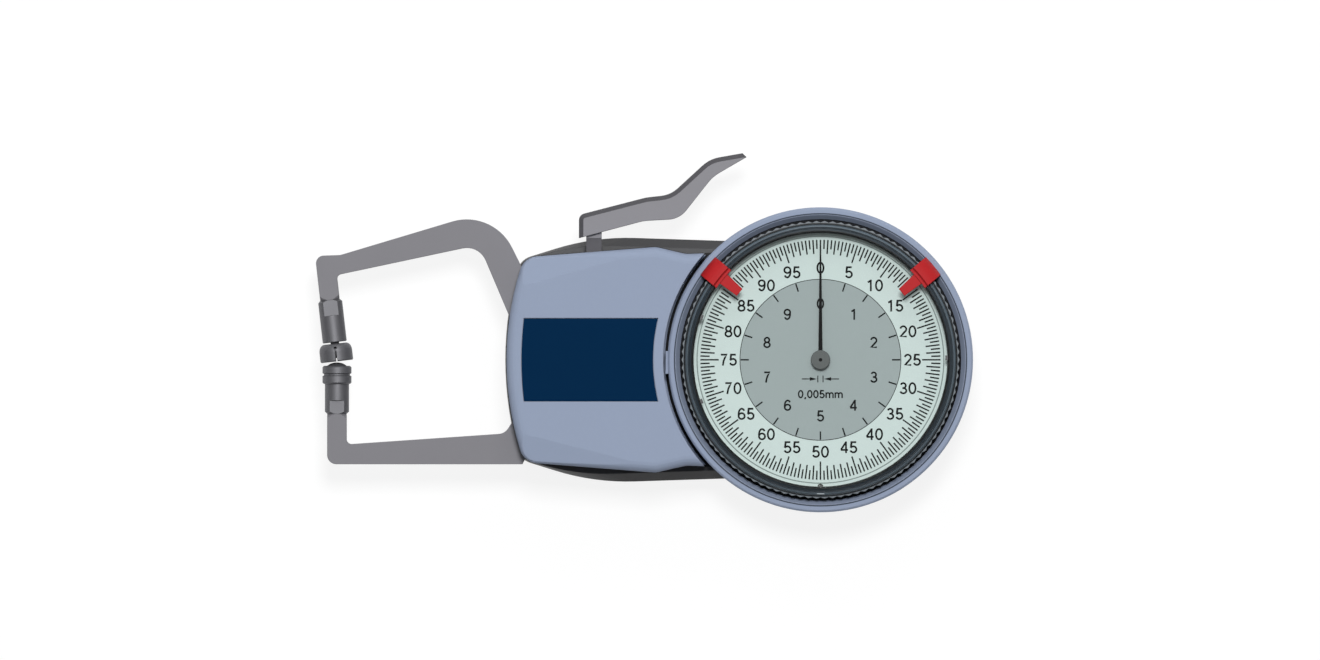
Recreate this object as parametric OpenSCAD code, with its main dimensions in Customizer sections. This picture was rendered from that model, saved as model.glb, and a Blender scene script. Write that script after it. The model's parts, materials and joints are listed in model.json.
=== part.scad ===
// Dial caliper gauge with a swinging upper arm, a fixed lower arm and a thumb lever.
// It lies on its back: the dial faces +Z, +X points from the arms to the dial.
// The origin is on the dial axis, on the back face of the case. Sizes in millimetres.

/* [Housing] */
// Depth of the rear case, back face to parting face
case_depth = 13; // [12.5:0.5:16]
// Thickness of the case floor
floor_t = 2; // [1.6:0.1:2.6]
// Wall thickness of the front cover
wall = 2; // [1.6:0.1:2.2]
// Height of the front cover above the gasket
cover_h = 11.5; // [10:0.5:14]
// Thickness of the gasket between case and cover
gasket_t = 0.5; // [0.3:0.1:0.8]
// Distance from the dial axis to the left edge of the cover
cover_reach = 64.8; // [64:0.2:68]
// Half height of the cover at its left corners
cover_half = 21.15; // [20.8:0.05:22]
// How far the kink in the cover's long edges stands above the corners
cover_kink = 2.15; // [1.2:0.05:2.3]
// Radius of the round along the cover's front edge
cover_round = 2; // [1:0.25:2.5]
// How far the rear case shows past the cover's left edge
ledge_left = 0.45; // [0.3:0.05:1]
// Half height of the rear case where it bulges most
case_half = 24.8; // [24.2:0.1:25.9]
// Radius of the round along the back edge of the rear case
back_round = 2.5; // [1:0.25:3]
// Width of the slope along the long front edges of the rear case
case_slope = 1.8; // [1:0.1:1.9]
// Height of the slope along the front edges of the rear case
case_slope_h = 2.5; // [1.5:0.1:4]
// Tilt of the bevels at the cover's left corners, in degrees
bevel_tilt = 10; // [4:1:16]

/* [Label] */
// Length of the label plate
label_w = 27.6; // [20:0.2:28]
// Height of the label plate
label_h = 17; // [12:0.5:20]
// Thickness of the label plate
label_t = 0.5; // [0.3:0.1:0.8]

/* [Dial] */
// Radius of the dial face
dial_r = 26.2; // [25:0.1:27]
// Thickness of the dial face
dial_t = 0.8; // [0.5:0.1:1]
// Outer radius of the fluted bezel
bezel_r = 28.7; // [28.5:0.1:29.5]
// Number of flutes round the bezel
flute_count = 106; // [60:2:120]
// Depth of the bezel flutes
flute_depth = 0.35; // [0.1:0.05:0.4]
// Height of the fluted band
band_h = 0.75; // [0.6:0.05:1.2]
// How far the bezel's face rises inwards from the fluted band
face_rise = 1.05; // [0.9:0.05:1.6]
// Depth of the dial's underside below the rim of the dial ring
dial_sink = 2.4; // [1.6:0.1:2.5]
// Width of the sloping inner face of the dial ring
ring_slope = 1; // [0.6:0.1:1.5]
// Width of the flat rim of the dial ring
ring_rim = 1.55; // [1.2:0.05:2]
// Height of the dial ring above the gasket
ring_h = 8.5; // [8.5:0.5:11]
// Thickness of the crystal
crystal_t = 1.3; // [0.8:0.1:1.3]
// Gap between the dial ring and the front cover
ring_gap = 1; // [0.8:0.1:1.5]

/* [Markers] */
// Angle of each tolerance marker from the top of the dial, in degrees
marker_angle = 50.2; // [30:0.2:80]
// Width of a tolerance marker's clip
marker_w = 4.8; // [3.5:0.1:6]
// Thickness of the clip's top
marker_t = 0.8; // [0.7:0.1:1.2]
// Inner radius that a marker's finger reaches to
marker_tip_r = 21.75; // [20:0.25:23]

/* [Arms] */
// Thickness of both arms
arm_t = 4; // [3:0.25:4.5]
// Width of an arm's leg
leg_w = 4; // [3.6:0.1:4.6]
// Distance from the dial axis to the arm's pivot, along the case
pivot_reach = 56.3; // [55.6:0.1:56.6]
// Lean of the upper contact from square, in degrees
contact_lean = 6.5; // [5:0.1:7.5]
// Swing radius of the contact point about the arm's pivot
swing_r = 43.93; // [42:0.01:50]
// How far the lower arm's bottom edge hangs below the cover's corners
arm_drop = 0.45; // [0.15:0.05:1.5]

/* [Contacts] */
// Diameter of the contact stems
stem_d = 5; // [4.6:0.1:5.4]
// Width across the spanner flats of the stems
stem_flats = 4; // [3.6:0.1:4.4]
// Diameter of the swivel cup
cup_d = 6.8; // [6.4:0.1:7.4]
// Diameter of the lower contact's collar
collar_d = 6; // [5.6:0.1:6.8]
// Gap between the closed contacts
contact_gap = 0.2; // [0.15:0.05:0.4]
// Diameter of the ball inside the swivel cup
ball_d = 3.2; // [2.8:0.1:3.4]

/* [Lever] */
// Thickness of the press lever
lever_t = 6; // [5:0.25:7]
// Width of the lever's stem where it enters the case
lever_stem = 3.2; // [2.6:0.1:3.6]
// Width of the bevel along the lever's upper edge
lever_bevel = 0.9; // [0.4:0.1:1.2]

/* [Movement] */
// Diameter of the arm's pivot pin
pivot_d = 4; // [3.4:0.1:4.2]
// Thickness of the frame plate
frame_t = 2; // [1.6:0.1:2.4]
// Thickness of the bridge plate
bridge_t = 1.5; // [1.2:0.1:2]
// Thickness of the sector gear
sector_t = 1.2; // [1:0.1:1.4]
// Thickness of the thin train wheels
wheel_t = 0.8; // [0.6:0.05:1]
// Tooth play at the pitch line
tooth_play = 0.06; // [0.05:0.01:0.08]
// Radial clearance of shafts that turn
run_gap = 0.04; // [0.02:0.01:0.06]
// Radial clearance of pins and screws in their holes
pin_gap = 0.03; // [0.02:0.01:0.06]
// End float of turning pieces
end_float = 0.25; // [0.2:0.05:0.3]

/* [Hidden] */
$fn = 64;

// Levels of the housing, from the back face up
parting_z = case_depth + gasket_t;
cover_top = parting_z + cover_h;
ring_top = parting_z + ring_h;
ceiling_z = cover_top - wall;

// Levels of the arms and the lever
arm_clear = 0.5;
arm_z = parting_z + arm_clear;
arm_top = arm_z + arm_t;
arm_mid = arm_z + arm_t / 2;
lever_lift = 0.4;
lever_z = arm_mid - lever_t / 2 + lever_lift;

// Levels of the movement
frame_lift = 1.5;
frame_z = floor_t + frame_lift;
frame_top = frame_z + frame_t;
flange_t = 0.85;
sector_z = frame_top + end_float + flange_t;
sector_top = sector_z + sector_t;
tooth_overlap = 0.4;
collet_h = 0.8;
wheel_z = sector_top + tooth_overlap + collet_h;
bridge_sink = 0.5;
bridge_z = parting_z - bridge_sink;
bridge_top = bridge_z + bridge_t;
cannon_t = 1.2;
cannon_z = bridge_top + bridge_sink;
reduction_z = cannon_z + (cannon_t - wheel_t) / 2;
hour_hub_z = cannon_z + cannon_t + end_float;
hour_step = 0.5;
hour_z = hour_hub_z + hour_step;

// Radii of the dial ring and the bezel, from the dial outwards
dial_fit = 0.1;
lip_r = dial_r + dial_fit;
dial_ledge = 0.8;
seat_r = dial_r - dial_ledge;
crystal_ledge = 0.5;
rebate_r = lip_r + crystal_ledge;
spigot_in = 1.35;
spigot_r = bezel_r - spigot_in;
neck_in = 0.7;
bezel_neck_r = bezel_r - neck_in;
collar_r = spigot_r + run_gap;
flute_gap = 0.25;
slope_r = bezel_r + flute_gap;
rim_r = slope_r + ring_slope;
ring_r = rim_r + ring_rim;
can_inset = 0.5;
can_r = ring_r - can_inset;
can_wall = 2.4;
can_bore_r = can_r - can_wall;
gap_r = ring_r + ring_gap;

// Levels of the bezel, from the ring's rim
slope_h = 1.8;
collar_top = ring_top - slope_h;
collar_h = 2;
bezel_float = 0.2;
shoulder_z = collar_top + bezel_float;
band_lift = 0.85;
band_z = ring_top + band_lift;
band_edge = band_z + band_h;
band_top = band_edge + face_rise;
retainer_t = 0.45;
retainer_z = collar_top - collar_h - bezel_float - retainer_t;
spigot_tail = 0.55;
spigot_z = retainer_z - spigot_tail;
dial_z = ring_top - dial_sink;
dial_top = dial_z + dial_t;
lip_t = 0.7;
crystal_top = band_top - lip_t;
crystal_z = crystal_top - crystal_t;
seal_t = 0.4;

// Hands
hand_t = 0.2;
dial_gap = 0.4;
hand_gap = 0.3;
short_z = dial_top + dial_gap;
long_z = short_z + hand_t + hand_gap;
hub_z = long_z + hand_t;
hub_h = 0.7;
hub_r = 2;
hub_edge = 0.15;
long_reach = 23.4;
short_reach = 13.5;
arbor_r = 0.8;
pipe_r = 1.5;
pipe_bore_r = arbor_r + run_gap;

// Contact point, arm pivot and swing
contact = [-(pivot_reach + swing_r * cos(contact_lean)), -0.35];
pivot = contact + swing_r * toward(contact_lean);
travel = 10;
swing = travel / swing_r * 180 / PI;
left_x = -cover_reach;

// Upper contact, measured up from the cup's rim
cup_h = 3.7;
cup_shoulder = 2.1;
swivel_gap = 0.3;
sleeve_h = 8.75;
flats_h = 3.2;
ball_up = 2.3;
stud_r = 1.2;
stud_h = 3;
sleeve_z = cup_h + swivel_gap;
leg_s = sleeve_z + sleeve_h;

// Lower contact, measured down from its tip
tip_h = 0.7;
anvil_h = 3.76;
lower_stem_h = 6.2;
lower_leg_y = contact[1] - contact_gap - tip_h - anvil_h - lower_stem_h;

// Gear train: teeth, modules and centres
sector_teeth = 276;
pinion_teeth = 12;
wheel_teeth = 120;
centre_teeth = 10;
cannon_teeth = 12;
reduction_teeth = 48;
step_teeth = 16;
hour_teeth = 40;
sector_m = 0.32;
wheel_m = 0.2;
cannon_m = 0.28;
step_m = 0.3;
pressure = 25;
mesh_1 = sector_m * (sector_teeth + pinion_teeth) / 2;
mesh_2 = wheel_m * (wheel_teeth + centre_teeth) / 2;
mesh_3 = cannon_m * (cannon_teeth + reduction_teeth) / 2;
sector_r = sector_m * sector_teeth / 2;
pivot_far = norm(pivot);
pivot_dir = atan2(pivot[1], pivot[0]);
train_turn = acos((pow(mesh_2, 2) + pow(pivot_far, 2) - pow(mesh_1, 2)) / (2 * mesh_2 * pivot_far));
train = mesh_2 * toward(pivot_dir + train_turn);
mesh_1_dir = atan2(train[1] - pivot[1], train[0] - pivot[0]);
mesh_2_dir = atan2(-train[1], -train[0]);
mesh_3_dir = 180;
reduction = mesh_3 * toward(mesh_3_dir);
sector_from = -1.5;
sector_to = swing + 1.5;

// Screws: shank radius, head radius, head height
small_screw = [0.6, 1.1, 0.6];
plate_screw = [0.9, 1.7, 0.8];
case_screw = [0.9, 1.7, 1.2];
arm_screw = [1.2, 2.2, 1];
slot_w = 0.4;
head_sink = 0.4;
boss_r = 2.4;
pad_r = 1.7;
arm_boss_r = 3;
cover_bite = 6;
ring_bite = 2;
frame_bite = 0.8;
pillar_bite = 4;
arm_bite = 5;
bore_spare = 1;

// Fixing points
tongue_end = -42.5;
cover_fix_x = tongue_end + 6.5;
cover_fix_in = 1.9;
cover_fix = [[left_x + 4.3, -7.5], for (s = [1, -1]) [cover_fix_x, s * (cover_half - cover_fix_in)]];
ring_fix_in = 2.1;
ring_fix = [for (a = [125, 15, -70]) (can_bore_r - ring_fix_in) * toward(a)];
frame_fix = [[pivot[0] + 9.3, -4], [15, -4], [2, 15]];
pillar_fix = [[9, -11], [9, 11], [-14, 14], [-12.5, -21.2]];
tongue_fit = 0.15;
tongue_half = 3.5;
tongue_low = -cover_half + wall + tongue_fit;
tongue_y = tongue_low + tongue_half;
arm_low = cover_half + arm_drop;
arm_tip_h = 4.1;
arm_base_h = 6.35;
lower_fix = [[tongue_end - 4, tongue_y], [tongue_end - 14, tongue_y]];
lever_x = pivot[0] + 9.5;
tail_w = lever_stem + 1.8;
tail_top = 19.3;
tail_low = 12.8;
lever_fix = [[lever_x, tail_top - 1.7], [lever_x, tail_low + 1.6]];
hub_fix_r = 4.45;
hub_flange_r = 5.7;
hub_r_body = 3.2;

// The left ends are bows: how far in from the edge the corner lies, and how far out the apex
cover_bow = [3.54, 2.85];
case_bow = [3.15, 2.33];
case_corner_y = case_half - 4.08;
bow_share = 0.86;
function bow_radius(bow, half) =
  let (rise = bow[0] + bow[1])
  bow_share * norm([rise, half]) * half / rise;

// Corner lists are [x, y, radius], counterclockwise
cover_kink_y = cover_half + cover_kink;
half_cover = [
  [-15, cover_half + 1.15, 0],
  [-27.8, cover_half + 0.7, 6],
  [-34, cover_kink_y, 3],
  [left_x + cover_bow[0], cover_half, 3.9]
];
cover_apex = [left_x - cover_bow[1], 0, bow_radius(cover_bow, cover_half)];
cover_corners = concat(half_cover, [cover_apex], mirrored(half_cover));
case_left = left_x - ledge_left;
half_case = [
  [-10, case_half - 0.5, 0],
  [-46.75, case_half + 0.7, 50],
  [case_left + case_bow[0], case_corner_y, 4]
];
case_apex = [case_left - case_bow[1], 0, bow_radius(case_bow, case_corner_y)];
case_corners = concat(half_case, [case_apex], mirrored(half_case));
frame_points = [
  [pivot[0] - 1.7, 9.5], [pivot[0] - 1.7, 0], [pivot[0] + 8, -7], [-30, -10], [-12, -20.5],
  [10, -12], [18, -5], [18, 4], [10, 12], [1, 18], [-14, 14], [-30, 2], [pivot[0] + 7, 9.5]
];
frame_edge = 3.5;
bridge_edge = 2.8;

// Outline functions
function mirrored(c) = [for (i = [len(c) - 1 : -1 : 0]) [c[i][0], -c[i][1], c[i][2]]];
function unit(v) = v / norm(v);
function toward(a) = [cos(a), sin(a)];
function at(c, i) = let (p = c[(i + len(c)) % len(c)]) [p[0], p[1]];
function side(v) = [-v[1], v[0]];
function crossing(u, v) = u[0] * v[1] - u[1] * v[0];
function arc_steps(r, sweep) = r == 0 ? 0 : max(2, ceil(abs(sweep) * sqrt(r) / 18));
function arc_at(a, b, c, r, r0) =
  let (
    u = unit(a - b),
    v = unit(c - b),
    half = acos(max(-1, min(1, u * v))) / 2,
    mid = b + unit(u + v) * r / sin(half),
    from = b + u * r / tan(half) - mid,
    sweep = sign(crossing(b - a, c - b)) * (180 - 2 * half),
    start = atan2(from[1], from[0]),
    n = arc_steps(r0, sweep)
  )
  r0 == 0 ? [b] : [for (k = [0 : n]) mid + r * toward(start + sweep * k / n)];
function base_radius(p) = len(p) > 3 ? p[3] : p[2];
function rounded(c) = [
  for (i = [0 : len(c) - 1])
    for (p = arc_at(at(c, i - 1), at(c, i), at(c, i + 1), c[i][2], base_radius(c[i]))) p
];
function edge_inset(d, i, n) = is_list(d) ? d[(i + n) % n] : d;
function inset(c, d) = [
  for (i = [0 : len(c) - 1])
    let (
      n = len(c),
      e1 = unit(at(c, i) - at(c, i - 1)),
      e2 = unit(at(c, i + 1) - at(c, i)),
      d1 = edge_inset(d, i - 1, n),
      d2 = edge_inset(d, i, n),
      k = (d1 * e2 - d2 * e1) / crossing(e1, e2),
      r0 = base_radius(c[i]),
      r = c[i][2] - sign(crossing(e1, e2)) * (d1 + d2) / 2
    )
    [c[i][0] + k[0], c[i][1] + k[1], r0 == 0 ? 0 : max(r, 0.05), r0]
];
function outset(points, d) = [
  for (c = inset([for (p = points) [p[0], p[1], 0]], -d)) [c[0], c[1], 0]
];
function round_hull(points, d) = [
  for (i = [0 : len(points) - 1])
    let (
      c = outset(points, d)[i],
      e1 = at(points, i) - at(points, i - 1),
      e2 = at(points, i + 1) - at(points, i)
    )
    [c[0], c[1], crossing(e1, e2) > 0 ? d : 0]
];
function lifted(points, z) = [for (p = points) [p[0], p[1], z]];
function lean_point(along, across) =
  contact + along * side(toward(contact_lean)) + across * toward(contact_lean);

// Gear functions: involute flanks, angles in degrees
addendum = 0.9;
dedendum = 1.2;
function involute(base, r) = let (a = acos(min(1, base / r))) tan(a) * 180 / PI - a;
function half_tooth(m, z, r) =
  let (
    pitch = m * z / 2,
    base = pitch * cos(pressure)
  )
  90 / z - tooth_play / (2 * pitch) * 90 / PI + involute(base, pitch) - involute(base, max(r, base));
function flank_radii(m, z) =
  let (
    pitch = m * z / 2,
    root = pitch - dedendum * m,
    tip = pitch + addendum * m,
    low = max(root, pitch * cos(pressure)),
    n = z < 20 ? 4 : 2
  )
  concat(low > root ? [root] : [], [for (k = [0 : n]) low + (tip - low) * k / n]);
function tooth(m, z, mid) =
  let (
    radii = flank_radii(m, z),
    last = len(radii) - 1
  )
  concat(
    [for (r = radii) r * toward(mid - half_tooth(m, z, r))],
    [for (k = [last : -1 : 0]) radii[k] * toward(mid + half_tooth(m, z, radii[k]))]
  );
function gear_points(m, z, phase) = [for (k = [0 : z - 1]) for (p = tooth(m, z, phase + 360 * k / z)) p];

// Arm and lever outlines
hub_disc_r = 5.9;
arm_root_y = 6.6;
upper_corners = [
  concat(lean_point(leg_s, leg_w / 2), 0),
  concat(lean_point(17.73, leg_w / 2), 0.9),
  [left_x - 5.77, 23.74, 4.2],
  [left_x + 0.55, 8.85, 0.8],
  [left_x + 2.9, arm_root_y, 1],
  [pivot[0] - hub_disc_r + 0.2, pivot[1], 0],
  [pivot[0] + hub_disc_r - 0.2, pivot[1], 0],
  [pivot[0] + 4.3, 11, 3],
  [left_x + 4.6, 16.1, 2],
  [left_x - 2.9, 31.1, 10.4],
  [contact[0] + 0.7, 21.65, 3],
  concat(lean_point(22.2, -leg_w / 2), 1.6),
  concat(lean_point(leg_s, -leg_w / 2), 0)
];
ear_corners = [
  [pivot[0] + 3.3, pivot[1], 0],
  [pivot[0] + 5.6, pivot[1], 0],
  [lever_x + tail_w / 2, tail_low, 2],
  [lever_x + tail_w / 2, tail_top, 1],
  [lever_x - tail_w / 2, tail_top, 1],
  [lever_x - tail_w / 2, tail_low, 2],
  [pivot[0] + 2, 9, 0]
];
lower_corners = [
  [contact[0] + leg_w / 2, lower_leg_y, 0],
  [contact[0] - leg_w / 2, lower_leg_y, 0],
  [contact[0] - leg_w / 2, -arm_low, 1.9],
  [left_x + 3.2, -arm_low, 0],
  [left_x + 4.6, tongue_low, 0.5],
  [tongue_end, tongue_low, 1.5],
  [tongue_end, tongue_y + tongue_half, 1.5],
  [left_x + 1.6, tongue_y + tongue_half, 1],
  [left_x - 0.4, arm_base_h - arm_low, 2.5],
  [contact[0] + leg_w / 2, arm_tip_h - arm_low, 1]
];
lever_y = cover_kink_y;
lever_corners = [
  [pivot[0] + 6.4, lever_y + 1.85, 0],
  [pivot[0] + 19.8, lever_y + 5.4, 8],
  [pivot[0] + 27.2, lever_y + 5.8, 5],
  [pivot[0] + 34.1, lever_y + 14.55, 8],
  [pivot[0] + 41.05, lever_y + 18.6, 0],
  [pivot[0] + 40.2, lever_y + 19.4, 0],
  [pivot[0] + 33.4, lever_y + 18.2, 7],
  [pivot[0] + 25.35, lever_y + 10.8, 6],
  [pivot[0] + 20.3, lever_y + 10.25, 10],
  [pivot[0] + 6.4, lever_y + 6.65, 1.4]
];
lever_edges = [0, 0, 0, 0, 0.35, 1, 1, 1, 1, 1];
stem_rise = 3.4;

// Triangles of a flat outline that runs counterclockwise: one ear after another is cut off
function turn_at(a, b, c) = crossing(b - a, c - b);
function holds(a, b, c, p) = turn_at(a, b, p) >= 0 && turn_at(b, c, p) >= 0 && turn_at(c, a, p) >= 0;
function is_ear(outline, ids, i) =
  let (
    n = len(ids),
    a = at(outline, ids[(i + n - 1) % n]),
    b = at(outline, ids[i]),
    c = at(outline, ids[(i + 1) % n])
  )
  turn_at(a, b, c) > 0 && [for (k = [2 : n - 2]) if (holds(a, b, c, at(outline, ids[(i + k) % n]))) k] == [];
function first_ear(outline, ids, i) =
  i == len(ids) - 1 || is_ear(outline, ids, i) ? i : first_ear(outline, ids, i + 1);
function ears(outline, ids) =
  let (
    n = len(ids),
    i = n == 3 ? 1 : first_ear(outline, ids, 0),
    ear = [ids[(i + n - 1) % n], ids[i], ids[(i + 1) % n]]
  )
  n == 3 ? [ear] : concat([ear], ears(outline, [for (k = [0 : n - 1]) if (k != i) ids[k]]));

// Solid through stacked outlines that have the same number of points; flat ends may be hollow in places
module loft(sections, flat_ends = true) {
  n = len(sections[0]);
  last = len(sections) - 1;
  ring = [for (i = [0 : n - 1]) i];
  sides = [
    for (j = [0 : last - 1])
      for (i = [0 : n - 1])
        let (
          a = j * n + i,
          d = j * n + (i + 1) % n
        )
        each [[a, a + n, d + n], [a, d + n, d]]
  ];
  low_cap = flat_ends ? ears(sections[0], ring) : [ring];
  top_cap = flat_ends ? ears(sections[last], ring) : [ring];
  top_faces = [for (f = top_cap) [for (k = [len(f) - 1 : -1 : 0]) last * n + f[k]]];
  polyhedron([for (s = sections) for (p = s) p], concat(low_cap, sides, top_faces));
}

round_steps = 5;
function low_round(c, r, z) = [
  for (k = [0 : round_steps])
    let (t = 90 * k / round_steps) lifted(rounded(inset(c, r * (1 - sin(t)))), z + r * (1 - cos(t)))
];
function top_round(c, r, z) = [
  for (k = [0 : round_steps])
    let (t = 90 * k / round_steps) lifted(rounded(inset(c, r * (1 - cos(t)))), z - r + r * sin(t))
];

// Stack of round steps, each [radius, from, to]
module stack(steps) {
  for (s = steps) translate([0, 0, s[1]]) cylinder(h = s[2] - s[1], r = s[0]);
}

module post(place, r, low, high) {
  translate([place[0], place[1], low]) cylinder(h = high - low, r = r);
}

// Pan head screw with a slot: its head stands on level z, its shank goes down by length
module screw(place, kind, z, length) {
  translate([place[0], place[1], z]) difference() {
    stack([[kind[0], -length, 0], [kind[1], 0, kind[2]]]);
    translate([-kind[1] - 1, -slot_w / 2, kind[2] / 2]) cube([2 * kind[1] + 2, slot_w, kind[2]]);
  }
}

module screw_hole(place, kind, low, high) {
  post(place, kind[0] + pin_gap, low, high);
}

module on_upper_axis() {
  translate([contact[0], contact[1], arm_mid]) rotate([0, 0, contact_lean]) rotate([-90, 0, 0]) children();
}

module on_lower_axis() {
  translate([contact[0], contact[1] - contact_gap, arm_mid]) rotate([90, 0, 0]) children();
}

module gear(m, z, phase, low, high) {
  translate([0, 0, low]) linear_extrude(high - low) polygon(gear_points(m, z, phase));
}

// Housing
module cavity_outline(grow) {
  polygon(rounded(inset(cover_corners, wall - grow)));
  circle(can_bore_r + grow);
}

corner_slope = 0.35;
left_slope = 0.2;
pivot_boss = 1.6;
case_lean = [case_slope, corner_slope, left_slope, left_slope, corner_slope, case_slope, 0];
module rear_case() {
  head_room = 0.2;
  color("#2c2e33") difference() {
    union() {
      difference() {
        union() {
          loft(concat(
            low_round(case_corners, back_round, 0),
            [lifted(rounded(case_corners), case_depth - case_slope_h)],
            [lifted(rounded(inset(case_corners, case_lean)), case_depth)]
          ));
          rotate_extrude() polygon(concat(
            [[0, 0]],
            [for (t = [0 : 15 : 90]) [can_r - back_round * (1 - sin(t)), back_round * (1 - cos(t))]],
            [[can_r, case_depth], [0, case_depth]]
          ));
        }
        translate([0, 0, floor_t]) linear_extrude(case_depth) cavity_outline(0);
      }
      for (p = concat(cover_fix, ring_fix)) {
        post(p, boss_r, floor_t / 2, case_depth);
        post(p, pad_r, floor_t / 2, parting_z);
      }
      for (p = frame_fix) post(p, boss_r, floor_t / 2, frame_z);
      for (p = lower_fix) post(p, arm_boss_r, floor_t / 2, arm_z);
      post(pivot, pivot_d / 2 + pivot_boss, floor_t / 2, frame_z);
    }
    for (p = concat(cover_fix, ring_fix)) {
      screw_hole(p, case_screw, -1, parting_z + 1);
      post(p, case_screw[1] + head_room, -1, head_sink + case_screw[2]);
    }
    for (p = frame_fix) screw_hole(p, plate_screw, floor_t / 2, frame_z + 1);
    for (p = lower_fix) screw_hole(p, arm_screw, arm_z - arm_bite - bore_spare, arm_z + 1);
    post(pivot, pivot_d / 2 + pin_gap, floor_t / 2, frame_z + 1);
  }
}

gasket_edge = 0.2;
gasket_lip = 0.12;
module case_gasket() {
  color("#1c1c1e") translate([0, 0, case_depth]) linear_extrude(gasket_t) difference() {
    union() {
      polygon(rounded(inset(cover_corners, -gasket_lip)));
      circle(can_r - gasket_edge);
    }
    cavity_outline(gasket_edge / 2);
  }
}

label_left = left_x + 3.6;
label_bulge = 0.5;
label_hollow = 1;
label_fit = 0.1;
module label_outline(grow) {
  left_r = (pow(label_h / 2, 2) + pow(label_bulge, 2)) / (2 * label_bulge);
  right_r = (pow(label_h / 2, 2) + pow(label_hollow, 2)) / (2 * label_hollow);
  difference() {
    intersection() {
      translate([label_left - label_bulge - grow, -label_h / 2 - grow])
        square([label_w + label_bulge + 2 * grow, label_h + 2 * grow]);
      translate([label_left - label_bulge + left_r, 0]) circle(left_r + grow, $fn = 200);
    }
    translate([label_left + label_w - label_hollow + right_r, 0]) circle(right_r - grow, $fn = 200);
  }
}

module label_plate() {
  color("#0d2a48") translate([0, 0, cover_top - label_t])
    linear_extrude(label_t + label_fit) label_outline(0);
}

// Sloping cut along a line on the cover's front, falling away to the left of the line
module bevel_cut(from, to) {
  dir = atan2(to[1] - from[1], to[0] - from[0]);
  translate([from[0], from[1], cover_top]) rotate([0, 0, dir]) rotate([-bevel_tilt, 0, 0])
    translate([-30, 0, 0]) cube([100, 30, 10]);
}

saddle_t = 1.5;
saddle_fit = 0.1;
saddle_in = 0.3;
saddle_lap = 1;
notch_gap = 0.5;
notch_out = 10;
upper_notch_in = 7.6;
lower_notch_in = 6.5;
lever_play = 5;
module front_cover() {
  notch_h = arm_top + notch_gap - parting_z;
  lower_notch_y = tongue_y + tongue_half + notch_gap;
  color("#96a3bb") difference() {
    union() {
      difference() {
        loft(concat(
          [lifted(rounded(cover_corners), parting_z)],
          top_round(cover_corners, cover_round, cover_top)
        ));
        translate([0, 0, parting_z - 1]) linear_extrude(ceiling_z - parting_z + 1) difference() {
          polygon(rounded(inset(cover_corners, wall)));
          circle(gap_r + wall);
        }
        post([0, 0], gap_r, parting_z - 1, cover_top + 1);
        post([0, 0], gap_r + wall + saddle_fit, parting_z - 1, parting_z + saddle_t);
        bevel_cut([left_x + 3.1, cover_half - 6.05], [left_x + 24.6, cover_half + 0.05]);
        mirror([0, 1, 0]) bevel_cut([left_x + 4, cover_half - 5.75], [left_x + 20.9, cover_half - 1.45]);
      }
      for (p = cover_fix) post(p, boss_r, parting_z, ceiling_z + wall / 2);
    }
    translate([0, 0, cover_top - label_t]) linear_extrude(2) label_outline(label_fit);
    for (p = cover_fix) screw_hole(p, case_screw, parting_z - 1, parting_z + cover_bite + bore_spare);
    translate([left_x - notch_out, arm_root_y - notch_gap, parting_z - 1])
      cube([notch_out + upper_notch_in, cover_half, notch_h + 1]);
    translate([left_x - notch_out, lower_notch_y - cover_half, parting_z - 1])
      cube([notch_out + lower_notch_in, cover_half, notch_h + 1]);
    translate([lever_x - lever_stem / 2 - notch_gap, cover_half - 2 * wall, parting_z - 1])
      cube([lever_stem + 2 * notch_gap + lever_play, 3 * wall + cover_kink, notch_h + 1]);
  }
}

tab_w = 4.7;
tab_low = -2.9;
tab_lift = 1;
tab_drop = 0.6;
ring_edge = 0.4;
module dial_ring() {
  color("#96a3bb") difference() {
    union() {
      rotate_extrude($fn = 128) polygon([
        [can_bore_r, parting_z], [ring_r, parting_z],
        [ring_r, ring_top - ring_edge], [ring_r - ring_edge, ring_top], [rim_r, ring_top],
        [slope_r, collar_top], [collar_r, collar_top], [collar_r, collar_top - collar_h],
        [can_bore_r, collar_top - collar_h]
      ]);
      translate([0, 0, parting_z]) linear_extrude(saddle_t) difference() {
        intersection() {
          polygon(rounded(inset(cover_corners, saddle_in)));
          circle(gap_r + wall);
        }
        circle(can_bore_r + saddle_lap);
      }
      translate([-ring_r - ring_gap / 2, tab_low, parting_z + tab_lift])
        cube([ring_gap, tab_w, ring_h - tab_lift - tab_drop]);
      for (p = ring_fix) post(p, boss_r, parting_z, parting_z + ring_bite);
    }
    for (p = ring_fix) screw_hole(p, case_screw, parting_z - 1, parting_z + ring_bite + bore_spare);
  }
}

module back_screw(place, bite) {
  head_top = head_sink + case_screw[2];
  translate([0, 0, head_top]) mirror([0, 0, 1]) screw(place, case_screw, 0, parting_z + bite - head_top);
}

module case_screws() {
  color("#8a8c90") {
    for (p = cover_fix) back_screw(p, cover_bite);
    for (p = ring_fix) back_screw(p, ring_bite);
  }
}

// Movement frame
bush_r = 1.6;
spring_post_r = 0.8;
pin_over = 0.6;
module frame_plate() {
  color("#b9a15a") difference() {
    union() {
      translate([0, 0, frame_z]) linear_extrude(frame_t)
        polygon(rounded(round_hull(frame_points, frame_edge)));
      post(spring_post, spring_post_r, frame_z, spring_high + pin_over);
    }
    post(pivot, pivot_d / 2 + pin_gap, 0, frame_top + 1);
    for (p = frame_fix) screw_hole(p, plate_screw, 0, frame_top + 1);
    for (p = pillar_fix) post(p, stud_r + pin_gap, 0, frame_top + 1);
    for (p = [train, [0, 0]]) post(p, bush_r + pin_gap, 0, frame_top + 1);
  }
}

module frame_screws() {
  color("silver") for (p = frame_fix) screw(p, plate_screw, frame_top, frame_t + frame_lift + frame_bite);
}

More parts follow.
